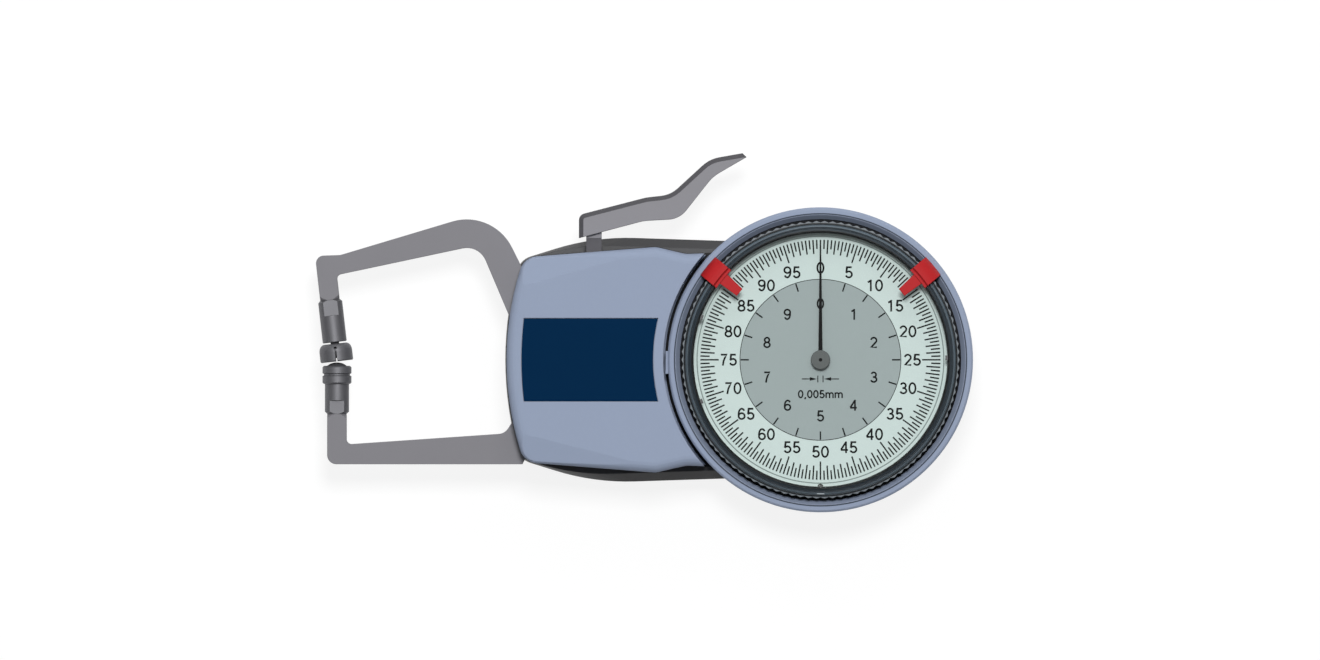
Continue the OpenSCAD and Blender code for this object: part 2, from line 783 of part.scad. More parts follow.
pin_head_r = 3.2;
pin_head_h = 1;
pin_lift = 0.2;
module pivot_pin() {
  color("silver") translate([pivot[0], pivot[1], 0]) stack([
    [pivot_d / 2, floor_t / 2 + pin_lift, arm_top + end_float],
    [pin_head_r, arm_top + end_float, arm_top + end_float + pin_head_h]
  ]);
}

module bridge_plate() {
  color("#b9a15a") difference() {
    translate([0, 0, bridge_z]) linear_extrude(bridge_t) polygon(rounded(round_hull(
      [pillar_fix[0], pillar_fix[1], pillar_fix[2], pillar_fix[3]], bridge_edge)));
    for (p = pillar_fix) screw_hole(p, plate_screw, bridge_z - 1, bridge_top + 1);
    for (p = [train, [0, 0]]) post(p, bush_r + pin_gap, bridge_z - 1, bridge_top + 1);
    post(reduction, stud_r + pin_gap, bridge_z - 1, bridge_top + 1);
  }
}

pillar_r = 1.9;
module bridge_pillars() {
  color("silver") for (p = pillar_fix) difference() {
    translate([p[0], p[1], 0]) stack([[stud_r, frame_z, frame_top], [pillar_r, frame_top, bridge_z]]);
    screw_hole(p, plate_screw, bridge_z - pillar_bite - bore_spare, bridge_z + 1);
  }
}

module bridge_screws() {
  color("silver") for (p = pillar_fix) screw(p, plate_screw, bridge_top, bridge_t + pillar_bite);
}

pivot_r = 0.7;
module arbor_bushes() {
  color("#c8a24a") for (p = [train, [0, 0]]) difference() {
    union() {
      post(p, bush_r, frame_z, frame_top);
      post(p, bush_r, bridge_z, bridge_top);
    }
    post(p, pivot_r + run_gap, frame_z - 1, bridge_z - 1);
    post(p, (p == train ? pivot_r : centre_r) + run_gap, bridge_z - 1, bridge_top + 1);
  }
}

stud_over = 1;
stud_cap = 0.2;
stud_cap_h = 0.5;
stud_top = hour_z + wheel_t + stud_over;
module reduction_stud() {
  color("silver") translate([reduction[0], reduction[1], 0]) stack([
    [stud_r, bridge_z, bridge_top], [arbor_r, bridge_top, stud_top],
    [stud_r + stud_cap, stud_top, stud_top + stud_cap_h]
  ]);
}

// Leg spring round the hub: one tube from the sector's pin, up the coil, to the frame's post
coil_r = 4.3;
wire_r = 0.21;
coil_turns = 3;
coil_from = 60;
coil_to = 225 + 360 * coil_turns;
spring_fit = 0.1;
spring_lift = 1.2;
spring_drop = 1.6;
spring_low = sector_top + spring_lift;
spring_high = parting_z - spring_drop;
leg_run = 7;
post_run = 5;
pin_run = 6.5;
spring_post = pivot + coil_r * toward(coil_to) + post_run * side(toward(coil_to))
  + (wire_r + spring_post_r + spring_fit) * toward(coil_to);
sector_pin_r = 0.6;
sector_pin = pivot + coil_r * toward(coil_from) - pin_run * side(toward(coil_from))
  - (wire_r + sector_pin_r + spring_fit) * toward(coil_from);
coil_steps = 24 * coil_turns + 12;
function coil_point(k) =
  let (
    t = k / coil_steps,
    a = coil_from + (coil_to - coil_from) * t,
    p = pivot + coil_r * toward(a)
  )
  [p[0], p[1], spring_low + (spring_high - spring_low) * t];
leg_low = pivot + coil_r * toward(coil_from) - leg_run * side(toward(coil_from));
leg_high = pivot + coil_r * toward(coil_to) + leg_run * side(toward(coil_to));
spring_path = concat(
  [[leg_low[0], leg_low[1], spring_low]],
  [for (k = [0 : coil_steps]) coil_point(k)],
  [[leg_high[0], leg_high[1], spring_high]]
);
wire_sides = 6;
function path_ring(path, i) =
  let (
    t = unit(path[min(i + 1, len(path) - 1)] - path[max(i - 1, 0)]),
    n = unit(cross([0, 0, 1], t)),
    b = cross(t, n)
  )
  [
    for (k = [0 : wire_sides - 1])
      let (a = 360 * k / wire_sides)
      path[i] + wire_r * (cos(a) * n + sin(a) * b)
  ];
module return_spring() {
  color("#9a9ca0") loft([for (i = [0 : len(spring_path) - 1]) path_ring(spring_path, i)], flat_ends = false);
}

// Conical turning of a square leg's end; the end face is at height 0 on the local axis
module leg_end_cut() {
  rotate_extrude() polygon([[leg_w / 2, -1], [leg_w, -1], [leg_w, leg_w / 2 + 0.2], [leg_w / 2, 0]]);
}

stem_r = stem_d / 2;
module lower_arm() {
  stem_end = tip_h + anvil_h + lower_stem_h;
  color("#828186") difference() {
    union() {
      translate([0, 0, arm_z]) linear_extrude(arm_t) polygon(rounded(lower_corners));
      on_lower_axis() stack([[stud_r, stem_end - stud_h, stem_end + 1]]);
    }
    on_lower_axis() translate([0, 0, stem_end]) leg_end_cut();
    for (p = lower_fix) screw_hole(p, arm_screw, arm_z - 1, arm_top + 1);
  }
}

module lower_arm_screws() {
  color("silver") for (p = lower_fix) screw(p, arm_screw, arm_top, arm_t + arm_bite);
}

// Cuts that leave two spanner flats, facing front and back, on a stem along the local axis
module flats_cut(low, high) {
  for (s = [-1, 1])
    translate([-stem_d, s * (stem_flats + stem_d) / 2 - stem_d / 2, low])
      cube([2 * stem_d, stem_d, high - low]);
}

module lower_contact() {
  dome_r = 1.4;
  dome_h = 0.28;
  ball_r = (pow(dome_r, 2) + pow(dome_h, 2)) / (2 * dome_h);
  dome_turn = asin(dome_r / ball_r);
  collar = collar_d / 2;
  anvil_end = tip_h + anvil_h;
  stem_end = anvil_end + lower_stem_h;
  groove = anvil_end - 1.92;
  neck_r = 2.05;
  stem_edge = 0.5;
  edge = 0.3;
  color("#6f7073") on_lower_axis() difference() {
    rotate_extrude() polygon(concat(
      [for (k = [0 : 4]) ball_r * [sin(dome_turn * k / 4), 1 - cos(dome_turn * k / 4)]],
      [
        [neck_r, tip_h], [collar - edge, tip_h], [collar, tip_h + edge],
        [collar, groove - edge], [collar - edge, groove - edge / 2], [collar - edge, groove + edge / 2],
        [collar, groove + edge], [collar, anvil_end - edge], [collar - edge, anvil_end],
        [stem_r, anvil_end], [stem_r, stem_end - stem_edge], [stem_r - stem_edge, stem_end], [0, stem_end]
      ]
    ));
    flats_cut(stem_end - 2.8, stem_end + 1);
    stack([[stud_r + pin_gap, stem_end - stud_h - 0.2, stem_end + 1]]);
  }
}

// Swinging arm
module upper_arm() {
  color("#828186") difference() {
    union() {
      translate([0, 0, arm_z]) linear_extrude(arm_t) {
        polygon(rounded(upper_corners));
        translate(pivot) circle(hub_disc_r);
      }
      translate([0, 0, arm_z]) linear_extrude(arm_t / 2) polygon(rounded(ear_corners));
      on_upper_axis() stack([[stud_r, leg_s - stud_h, leg_s + 1]]);
    }
    on_upper_axis() translate([0, 0, leg_s]) leg_end_cut();
    post(pivot, hub_r_body + pin_gap, arm_z - 1, arm_top + 1);
    for (p = hub_fix) screw_hole(p, small_screw, arm_z - 1, arm_top + 1);
    for (p = lever_fix) screw_hole(p, small_screw, arm_z - 1, arm_top + 1);
  }
}

hub_fix = [for (a = [30, 150, 270]) pivot + hub_fix_r * toward(a)];
hub_flange_top = 1.4;
module arm_hub() {
  color("#b9a15a") difference() {
    translate([pivot[0], pivot[1], 0]) stack([
      [hub_flange_r, sector_z - flange_t, sector_z],
      [hub_r_body, sector_z, arm_top],
      [hub_flange_r, arm_z - hub_flange_top, arm_z]
    ]);
    post(pivot, pivot_d / 2 + run_gap, 0, arm_top + 1);
    for (p = hub_fix) {
      screw_hole(p, small_screw, arm_z - hub_flange_top - 1, arm_z + 1);
      screw_hole(p, small_screw, 0, sector_z + 0.1);
    }
  }
}

module arm_screws() {
  color("silver") for (p = hub_fix) screw(p, small_screw, arm_top, arm_t + hub_flange_top);
}

module press_lever() {
  face = inset(lever_corners, lever_edges * lever_bevel);
  stem_top = lever_y + stem_rise;
  stem_half = lever_stem / 2;
  color("#94939a") difference() {
    union() {
      loft([
        lifted(rounded(face), lever_z),
        lifted(rounded(lever_corners), lever_z + lever_bevel),
        lifted(rounded(lever_corners), lever_z + lever_t - lever_bevel),
        lifted(rounded(face), lever_z + lever_t)
      ]);
      translate([lever_x - stem_half, tail_top, arm_z]) cube([lever_stem, stem_top - tail_top, arm_t]);
      translate([0, 0, arm_mid]) linear_extrude(arm_t / 2) polygon(rounded([
        [lever_x + tail_w / 2, tail_low, 1], [lever_x + tail_w / 2, tail_top, 0],
        [lever_x + stem_half, tail_top + 1, 0], [lever_x - stem_half, tail_top + 1, 0],
        [lever_x - tail_w / 2, tail_top, 0], [lever_x - tail_w / 2, tail_low, 1]
      ]));
    }
    for (p = lever_fix) screw_hole(p, small_screw, arm_z - 1, arm_top + 1);
  }
}

module lever_screws() {
  color("silver") for (p = lever_fix) screw(p, small_screw, arm_top, arm_t);
}

tooth_turn = 360 / sector_teeth;
sector_first = ceil(sector_from / tooth_turn);
sector_last = floor(sector_to / tooth_turn);
rim_from = (sector_first - 0.5) * tooth_turn - 0.4;
rim_to = (sector_last + 0.5) * tooth_turn + 0.4;
sector_rim = 5;
rim_in_r = sector_r - sector_rim;
spoke_w = 4;
spoke_turn = 2.2;
module sector_gear() {
  root_r = sector_r - dedendum * sector_m;
  color("#c8a24a") difference() {
    union() {
      translate([pivot[0], pivot[1], sector_z]) rotate(mesh_1_dir) linear_extrude(sector_t) {
        polygon(concat(
          [root_r * toward(rim_from)],
          [for (k = [sector_first : sector_last]) for (p = tooth(sector_m, sector_teeth, k * tooth_turn)) p],
          [root_r * toward(rim_to)],
          [for (k = [8 : -1 : 0]) rim_in_r * toward(rim_from + (rim_to - rim_from) * k / 8)]
        ));
        for (a = [rim_from + spoke_turn, rim_to - spoke_turn])
          rotate(a) translate([0, -spoke_w / 2]) square([rim_in_r + 1, spoke_w]);
        circle(hub_flange_r);
      }
      post(sector_pin, sector_pin_r, sector_z, spring_low + pin_over);
    }
    post(pivot, hub_r_body + pin_gap, 0, sector_top + 1);
    for (p = hub_fix) screw_hole(p, small_screw, 0, sector_top + 1);
  }
}

module sector_screws() {
  color("silver") for (p = hub_fix) screw(p, small_screw, sector_top, sector_t + flange_t);
}

ball_neck_r = 0.9;
sleeve_edge = 0.15;
leg_edge = 0.4;
module upper_contact_stem() {
  color("#6f7073") on_upper_axis() difference() {
    union() {
      translate([0, 0, ball_up]) sphere(d = ball_d);
      stack([[ball_neck_r, ball_up, sleeve_z + 1]]);
      rotate_extrude() polygon([
        [0, sleeve_z], [stem_r - sleeve_edge, sleeve_z], [stem_r, sleeve_z + sleeve_edge],
        [stem_r, leg_s - leg_edge], [stem_r - leg_edge, leg_s], [0, leg_s]
      ]);
    }
    flats_cut(leg_s - flats_h, leg_s + 1);
    stack([[stud_r + pin_gap, leg_s - stud_h - 0.2, leg_s + 1]]);
  }
}

module swivel_cup() {
  cup_r = cup_d / 2;
  top_r = 2.3;
  mouth_r = 1.3;
  slit_w = 0.3;
  hole_up = 2.8;
  edge = 0.2;
  color("#5f6064") on_upper_axis() difference() {
    rotate_extrude() polygon(concat(
      [[0, 0], [cup_r - edge, 0], [cup_r, edge]],
      [
        for (t = [0 : 15 : 90])
          [top_r + (cup_r - top_r) * cos(t), cup_shoulder + (cup_h - cup_shoulder) * sin(t)]
      ],
      [[0, cup_h]]
    ));
    translate([0, 0, ball_up]) sphere(r = ball_d / 2 + run_gap);
    stack([[mouth_r, ball_up, cup_h + 1]]);
    translate([-slit_w / 2, -cup_d, -1]) cube([slit_w, 2 * cup_d, hole_up + 1]);
    translate([0, cup_d, hole_up]) rotate([90, 0, 0]) cylinder(h = 2 * cup_d, r = 0.3);
  }
}

// Gear train
pivot_short = 0.3;
train_body_r = 1.1;
collet_r = 2.2;
wheel_seat_r = 1;
module at_train() {
  translate([train[0], train[1], 0]) children();
}

module intermediate_arbor() {
  color("silver") at_train() {
    stack([
      [pivot_r, frame_z + pivot_short, frame_top + end_float],
      [train_body_r, frame_top + end_float, sector_z - tooth_overlap],
      [collet_r, sector_top + tooth_overlap, wheel_z],
      [wheel_seat_r, wheel_z, bridge_z - end_float],
      [pivot_r, bridge_z - end_float, bridge_top]
    ]);
    gear(sector_m, pinion_teeth, mesh_1_dir + 180 - 180 / pinion_teeth,
      sector_z - tooth_overlap, sector_top + tooth_overlap);
  }
}

wheel_rim = 1.6;
wheel_hub_r = 3;
wheel_arm_w = 1.6;
module intermediate_wheel() {
  rim_r = wheel_m * wheel_teeth / 2 - wheel_rim;
  color("#c8a24a") at_train() difference() {
    gear(wheel_m, wheel_teeth, mesh_2_dir, wheel_z, wheel_z + wheel_t);
    post([0, 0], wheel_seat_r + pin_gap, 0, wheel_z + 5);
    translate([0, 0, wheel_z - 1]) linear_extrude(wheel_t + 2) difference() {
      circle(rim_r);
      circle(wheel_hub_r);
      for (a = [0, 90]) rotate(a) square([2 * rim_r + 1, wheel_arm_w], center = true);
    }
  }
}

centre_r = 1;
centre_body_r = 1.2;
module centre_arbor() {
  pinion_low = wheel_z - tooth_overlap;
  pinion_high = wheel_z + wheel_t + tooth_overlap;
  color("silver") {
    stack([
      [pivot_r, frame_z + pivot_short, frame_top + end_float],
      [centre_body_r, frame_top + end_float, pinion_low],
      [centre_body_r, pinion_high, bridge_z - end_float],
      [centre_r, bridge_z - end_float, cannon_z],
      [arbor_r, cannon_z, hub_z + hub_h]
    ]);
    gear(wheel_m, centre_teeth, mesh_2_dir + 180 - 180 / centre_teeth, pinion_low, pinion_high);
  }
}

module cannon_pinion() {
  color("#c8a24a") difference() {
    gear(cannon_m, cannon_teeth, mesh_3_dir, cannon_z, cannon_z + cannon_t);
    post([0, 0], arbor_r + pin_gap, 0, cannon_z + 5);
  }
}

module reduction_wheel() {
  color("#c8a24a") translate([reduction[0], reduction[1], 0]) difference() {
    union() {
      gear(cannon_m, reduction_teeth, mesh_3_dir + 180 - 180 / reduction_teeth,
        reduction_z, reduction_z + wheel_t);
      gear(step_m, step_teeth, mesh_3_dir + 180, reduction_z + wheel_t, stud_top - end_float);
      stack([[stud_r + stud_cap, bridge_top + end_float, reduction_z]]);
    }
    post([0, 0], arbor_r + run_gap, 0, stud_top + 1);
  }
}

hour_hub_wall = 0.7;
module hour_wheel() {
  color("#c8a24a") difference() {
    union() {
      gear(step_m, hour_teeth, mesh_3_dir - 180 / hour_teeth, hour_z, hour_z + wheel_t);
      stack([[pipe_r + hour_hub_wall, hour_hub_z, hour_z], [pipe_r, hour_hub_z, short_z + hand_t]]);
    }
    post([0, 0], pipe_bore_r, 0, ring_top + 5);
  }
}

// Flat hand that points to the top of the dial
module hand(reach, root_w, tip_w, ring, bore, z) {
  translate([0, 0, z]) linear_extrude(hand_t) difference() {
    union() {
      polygon([[-root_w / 2, 0], [root_w / 2, 0], [tip_w / 2, reach], [-tip_w / 2, reach]]);
      circle(ring);
    }
    circle(bore + pin_gap);
  }
}

module long_hand() {
  color("#141414") hand(long_reach, 0.9, 0.27, hub_r - 0.4, arbor_r, long_z);
}

module short_hand() {
  color("#141414") hand(short_reach, 0.6, 0.3, hub_r - 0.05, pipe_r, short_z);
}

module hand_hub() {
  color("#6d6e70") difference() {
    rotate_extrude() polygon([
      [0, hub_z], [hub_r, hub_z], [hub_r, hub_z + hub_h - hub_edge],
      [hub_r - hub_edge, hub_z + hub_h], [0, hub_z + hub_h]
    ]);
    post([0, 0], arbor_r + pin_gap, 0, hub_z + 5);
  }
}

// Bezel, with a fluted band and two turned grooves in its sloping face
slack = 0.05;
core_r = bezel_r - flute_depth - slack;
lip_edge = 0.3;
groove_deep = 0.75;
groove_r = spigot_r - groove_deep;
groove_w = 0.4;
groove_h = 0.3;
groove_in = 0.45;
groove_pitch = 0.65;
bezel_grooves = [core_r - groove_in, core_r - groove_in - groove_pitch];
function face_z(r) = band_edge + face_rise * (core_r - r) / (core_r - lip_r - lip_edge);
function flute_r(k) = bezel_r - flute_depth * (1 - cos(90 * k)) / 2;
module bezel() {
  flute_steps = 4 * flute_count;
  color("#2a3038") {
    rotate_extrude($fn = 128) polygon(concat(
      [
        [seat_r, spigot_z], [spigot_r, spigot_z], [spigot_r, retainer_z - slack],
        [groove_r, retainer_z - slack], [groove_r, retainer_z + retainer_t + slack],
        [spigot_r, retainer_z + retainer_t + slack], [spigot_r, shoulder_z], [bezel_neck_r, shoulder_z],
        [bezel_neck_r, band_z], [core_r, band_z], [core_r, band_edge]
      ],
      [
        for (g = bezel_grooves)
          each [
            [g + groove_w / 2, face_z(g + groove_w / 2)], [g, face_z(g) - groove_h],
            [g - groove_w / 2, face_z(g - groove_w / 2)]
          ]
      ],
      [
        [lip_r + lip_edge, band_top], [lip_r, band_top - lip_edge], [lip_r, crystal_top],
        [rebate_r, crystal_top], [rebate_r, crystal_z - seal_t], [lip_r, crystal_z - seal_t],
        [lip_r, dial_z], [seat_r, dial_z]
      ]
    ));
    translate([0, 0, band_z]) linear_extrude(band_h) difference() {
      polygon([for (k = [0 : flute_steps - 1]) flute_r(k) * toward(360 * k / flute_steps)]);
      circle(core_r - slack, $fn = 128);
    }
  }
}

retainer_gap = 0.4;
module bezel_retainer() {
  inner = groove_r + pin_gap;
  color("silver") rotate_extrude(angle = 345, $fn = 128)
    translate([inner, retainer_z]) square([can_bore_r - retainer_gap - inner, retainer_t]);
}

crystal_fit = 0.05;
crystal_r = rebate_r - crystal_fit;
module crystal() {
  color("#dfeef2", 0.3) rotate_extrude($fn = 128) translate([0, crystal_z]) square([crystal_r, crystal_t]);
}

module crystal_seal() {
  color("#1c1c1e") rotate_extrude($fn = 128)
    translate([lip_r, crystal_z - seal_t]) square([crystal_r - lip_r, seal_t]);
}

dial_notch_r = 0.6;
dial_hole_gap = 0.4;
module dial_face() {
  color("#d0ddd9") difference() {
    post([0, 0], dial_r, dial_z, dial_top);
    post([0, 0], pipe_r + dial_hole_gap, 0, dial_top + 1);
    post([0, -dial_r], dial_notch_r, 0, dial_top + 1);
  }
}

// Tolerance marker: a clip with a bowed back that hooks under the bezel's band, and a finger over the crystal
marker_gap = 0.3;
clip_over = 0.2;
clip_out = 1.45;
crease_in = 0.7;
finger_root = 1.25;
finger_tip = 0.92;
module marker(angle) {
  in_r = lip_r - clip_over;
  out_r = slope_r + clip_out;
  neck_r = bezel_neck_r + marker_gap / 2;
  clip_z = band_top + marker_gap;
  clip_top = clip_z + marker_t;
  hook_z = ring_top + marker_gap;
  hook_top = band_z - marker_gap + slack;
  back_r = clip_top - hook_z;
  crease = in_r + crease_in;
  crease_half = 0.15;
  crease_h = 0.4;
  finger_drop = 0.15;
  reach = 20;
  rotate(angle) {
    intersection() {
      rotate(-reach / 2) rotate_extrude(angle = reach) polygon(concat(
        [
          [in_r, clip_z], [lip_r + lip_edge, clip_z], [slope_r, band_edge + marker_gap],
          [slope_r, hook_top], [neck_r, hook_top], [neck_r, hook_z]
        ],
        [for (t = [0 : 10 : 80]) [out_r - back_r * (1 - cos(t)), hook_z + back_r * sin(t)]],
        [
          [crease + crease_half, clip_top], [crease, clip_top - crease_h], [crease - crease_half, clip_top],
          [in_r, clip_top]
        ]
      ));
      translate([0, -marker_w / 2, 0]) cube([out_r + 5, marker_w, clip_top + 5]);
    }
    translate([0, 0, clip_z]) linear_extrude(marker_t - finger_drop)
      polygon([
        [in_r + marker_gap, -finger_root], [in_r + marker_gap, finger_root],
        [marker_tip_r, finger_tip], [marker_tip_r, -finger_tip]
      ]);
  }
}

module marker_left() {
  color("#c82d32") marker(90 + marker_angle);
}

module marker_right() {
  color("#c82d32") marker(90 - marker_angle);
}

rear_case();
case_gasket();
front_cover();
label_plate();
dial_ring();
case_screws();
frame_plate();
frame_screws();
pivot_pin();
lower_arm();
lower_arm_screws();
lower_contact();
bridge_plate();
bridge_pillars();
bridge_screws();
arbor_bushes();
reduction_stud();
return_spring();
upper_arm();
arm_hub();
arm_screws();
press_lever();
lever_screws();
sector_gear();
sector_screws();
upper_contact_stem();
swivel_cup();
intermediate_arbor();
intermediate_wheel();
centre_arbor();
cannon_pinion();
long_hand();
hand_hub();
reduction_wheel();
hour_wheel();
short_hand();
bezel();
bezel_retainer();
crystal();
crystal_seal();
dial_face();
marker_left();
marker_right();
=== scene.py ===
# %% [markdown]
# # A dial caliper gauge, dressed for its portrait
# The gauge arrives as a fixed frame: every casing, arm, screw and wheel at its real size and place.
# This lesson gives each piece its finish, prints the dial, and lights the gauge as a catalogue would.
# Nothing here moves or resizes a piece. What is added rides on the body that carries it.

import json
import math

import bmesh
import bpy
from mathutils import Matrix, Vector


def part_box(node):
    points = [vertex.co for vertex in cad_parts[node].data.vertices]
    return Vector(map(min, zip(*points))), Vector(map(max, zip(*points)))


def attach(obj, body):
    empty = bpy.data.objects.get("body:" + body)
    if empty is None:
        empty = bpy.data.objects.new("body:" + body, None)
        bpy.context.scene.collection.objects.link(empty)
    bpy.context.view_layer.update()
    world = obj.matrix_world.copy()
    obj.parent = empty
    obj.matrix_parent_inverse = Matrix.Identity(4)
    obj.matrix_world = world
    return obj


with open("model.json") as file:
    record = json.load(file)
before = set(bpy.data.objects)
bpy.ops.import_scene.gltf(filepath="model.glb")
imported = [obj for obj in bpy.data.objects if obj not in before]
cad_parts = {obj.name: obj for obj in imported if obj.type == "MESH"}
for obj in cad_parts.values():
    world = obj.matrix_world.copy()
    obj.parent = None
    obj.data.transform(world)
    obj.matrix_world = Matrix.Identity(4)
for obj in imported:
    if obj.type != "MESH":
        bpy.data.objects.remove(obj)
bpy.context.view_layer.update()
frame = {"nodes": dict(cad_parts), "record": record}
nodes = frame["nodes"]
mm = 0.001
print("pieces in the frame:", len(nodes))

# %% [markdown]
# ## Camera
# The picture looks straight down on the dial from far away, so the gauge shows almost no perspective.
# An orthographic camera would do that too, but a long lens keeps the small depth cues between
# the raised ring and the deeper arms. The dial's centre sits right of the middle of the picture.

# %% Camera above the dial
picture_px = (1320, 660)
dial_px = (820.5, 359.8)
mm_per_px = 0.2065
camera_far = 4.0
sensor_mm = 36
ring_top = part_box("dial_ring")[1].z

camera_data = bpy.data.cameras.new("portrait_camera")
camera_data.sensor_width = sensor_mm
camera_data.lens = sensor_mm * camera_far / (picture_px[0] * mm_per_px * mm)
camera = bpy.data.objects.new("portrait_camera", camera_data)
bpy.context.scene.collection.objects.link(camera)
camera.location = (
    (picture_px[0] / 2 - dial_px[0]) * mm_per_px * mm,
    (dial_px[1] - picture_px[1] / 2) * mm_per_px * mm,
    ring_top + camera_far,
)
bpy.context.scene.camera = camera
print("lens", round(camera_data.lens, 1), "mm")

# %% [markdown]
# ## Floor and light
# The gauge lies on its back on a white sheet. The sheet is a plain matt floor. For the camera, for
# reflections and for glass it also glows a little, so that it reads as white while it still takes
# the gauge's shadow. One soft lamp stands high, towards the top of the picture, so that each marker
# throws a short shadow down the dial. A wide dim box behind it gives the slopes that face it their
# sheen. The sky could be even all round, but then turned steel would look flat: it is bright overhead
# and dim at the horizon, as a studio with dark walls is, so that cylinders darken towards their sides.

# %% Node helpers
def link(tree, source, target):
    tree.links.new(source, target)


def give(tree, value, socket):
    """Sets a socket to a plain number, or links another node's socket to it."""
    if isinstance(value, (int, float)):
        socket.default_value = value
    else:
        link(tree, value, socket)


def add_node(tree, kind, **settings):
    node = tree.nodes.new(kind)
    for name, value in settings.items():
        setattr(node, name, value)
    return node


def math_node(tree, operation, *values):
    node = add_node(tree, "ShaderNodeMath", operation=operation)
    for value, socket in zip(values, node.inputs):
        give(tree, value, socket)
    return node.outputs[0]


def vector_node(tree, *values):
    node = add_node(tree, "ShaderNodeCombineXYZ")
    for value, socket in zip(values, node.inputs):
        give(tree, value, socket)
    return node.outputs[0]


def from_screen(red, green, blue):
    """Linear colour of a screen colour that is given from 0 to 255."""
    def channel(value):
        share = value / 255
        return share / 12.92 if share <= 0.04045 else ((share + 0.055) / 1.055) ** 2.4
    return (channel(red), channel(green), channel(blue), 1.0)


print("half of a screen's white is", round(from_screen(128, 128, 128)[0], 2), "of its light")

# %% Floor
floor_half = 3.0
floor_drop = 0.1 * mm

floor_mesh = bpy.data.meshes.new("floor")
corners = [(-floor_half, -floor_half), (floor_half, -floor_half),
           (floor_half, floor_half), (-floor_half, floor_half)]
floor_mesh.from_pydata([(x, y, -floor_drop) for x, y in corners], [], [(0, 1, 2, 3)])
floor = bpy.data.objects.new("floor", floor_mesh)
bpy.context.scene.collection.objects.link(floor)
print("floor", 2 * floor_half, "m wide")

# %% White sheet
sheet_white = (0.8, 0.8, 0.8, 1)
glow_strength = 1.08
glow_share = 0.8

white_sheet = bpy.data.materials.new("white_sheet")
white_sheet.use_nodes = True
tree = white_sheet.node_tree
tree.nodes.clear()
matt = add_node(tree, "ShaderNodeBsdfDiffuse")
matt.inputs["Color"].default_value = sheet_white
glow = add_node(tree, "ShaderNodeEmission")
glow.inputs["Strength"].default_value = glow_strength
path = add_node(tree, "ShaderNodeLightPath")
seen = math_node(tree, "MAXIMUM", path.outputs["Is Camera Ray"], path.outputs["Is Glossy Ray"])
seen = math_node(tree, "MAXIMUM", seen, path.outputs["Is Transmission Ray"])
blend = add_node(tree, "ShaderNodeMixShader")
link(tree, math_node(tree, "MULTIPLY", seen, glow_share), blend.inputs["Fac"])
link(tree, matt.outputs[0], blend.inputs[1])
link(tree, glow.outputs[0], blend.inputs[2])
link(tree, blend.outputs[0], add_node(tree, "ShaderNodeOutputMaterial").inputs["Surface"])
floor_mesh.materials.append(white_sheet)
print("share of the sheet that glows:", glow_share)

# %% Sky
sky_tint = (0.97, 0.985, 1.0, 1)
sky_low = 0.04
sky_rise = 0.24
sky_lean = 0.14
sky_least = 0.02

world = bpy.data.worlds.new("studio")
world.use_nodes = True
tree = world.node_tree
sky = tree.nodes["Background"]
sky.inputs["Color"].default_value = sky_tint
way = add_node(tree, "ShaderNodeSeparateXYZ")
link(tree, add_node(tree, "ShaderNodeTexCoord").outputs["Generated"], way.inputs[0])
height = math_node(tree, "MULTIPLY", math_node(tree, "MAXIMUM", way.outputs["Z"], 0.0), sky_rise)
lean = math_node(tree, "MULTIPLY", way.outputs["Y"], sky_lean)
level = math_node(tree, "ADD", math_node(tree, "ADD", height, lean), sky_low)
link(tree, math_node(tree, "MAXIMUM", level, sky_least), sky.inputs["Strength"])
bpy.context.scene.world = world
print("sky overhead:", round(sky_low + sky_rise, 2), "and at the horizon:", sky_low)

# %% Lamps
gauge_middle = Vector((-0.03, 0.0, 0.015))


def soft_lamp(name, place, watts, width):
    data = bpy.data.lights.new(name, "AREA")
    data.shape = "SQUARE"
    data.size = width
    data.energy = watts
    lamp = bpy.data.objects.new(name, data)
    lamp.location = place
    lamp.rotation_euler = (gauge_middle - Vector(place)).to_track_quat("-Z", "Y").to_euler()
    lamp.visible_camera = False
    bpy.context.scene.collection.objects.link(lamp)
    return lamp


key_lamp = soft_lamp("key_lamp", place=(0.0, 0.31, 1.25), watts=11.7, width=0.24)
front_box = soft_lamp("front_box", place=(0.0, 1.15, 0.8), watts=2.6, width=0.9)
print("lamps:", key_lamp.name, front_box.name)

# %% [markdown]
# ## Shared effects
# Paint, plated steel and moulded plastic all vary a little in tone, shine and relief. That effect is
# one node group, *fine grain*, placed in each material with its own values. Real edges are never
# knife sharp: the *soft edge* group rounds the shading there and tells where an edge is, so that a
# painted highlight can lie on it, or a thin painted shade line. Turned pieces get *turned rings* and flat
# ground steel gets *ground lines*. *Flank mask* tells a piece's sloping and upright faces from its flat
# front, so that they can take a painted shade, and *zone mask* marks a ring about the dial's axis, or
# all that lies below a line or a level, for painted shade and highlights. The same nodes could be drawn
# in every material, but a group is mended in one place. Each hands out only colours, masks, heights and
# normals.

# %% An empty group
FLOAT = "NodeSocketFloat"
COLOUR = "NodeSocketColor"
VECTOR = "NodeSocketVector"


def new_group(name, inputs, outputs):
    group = bpy.data.node_groups.new(name, "ShaderNodeTree")
    for label, kind, value in inputs:
        socket = group.interface.new_socket(label, in_out="INPUT", socket_type=kind)
        socket.default_value = value
    for label, kind in outputs:
        group.interface.new_socket(label, in_out="OUTPUT", socket_type=kind)
    return group, add_node(group, "NodeGroupInput"), add_node(group, "NodeGroupOutput")


def object_place(group):
    return add_node(group, "ShaderNodeTexCoord").outputs["Object"]


print("kinds of socket:", FLOAT, COLOUR, VECTOR)

# %% Fine grain
grains_per_patch = 14


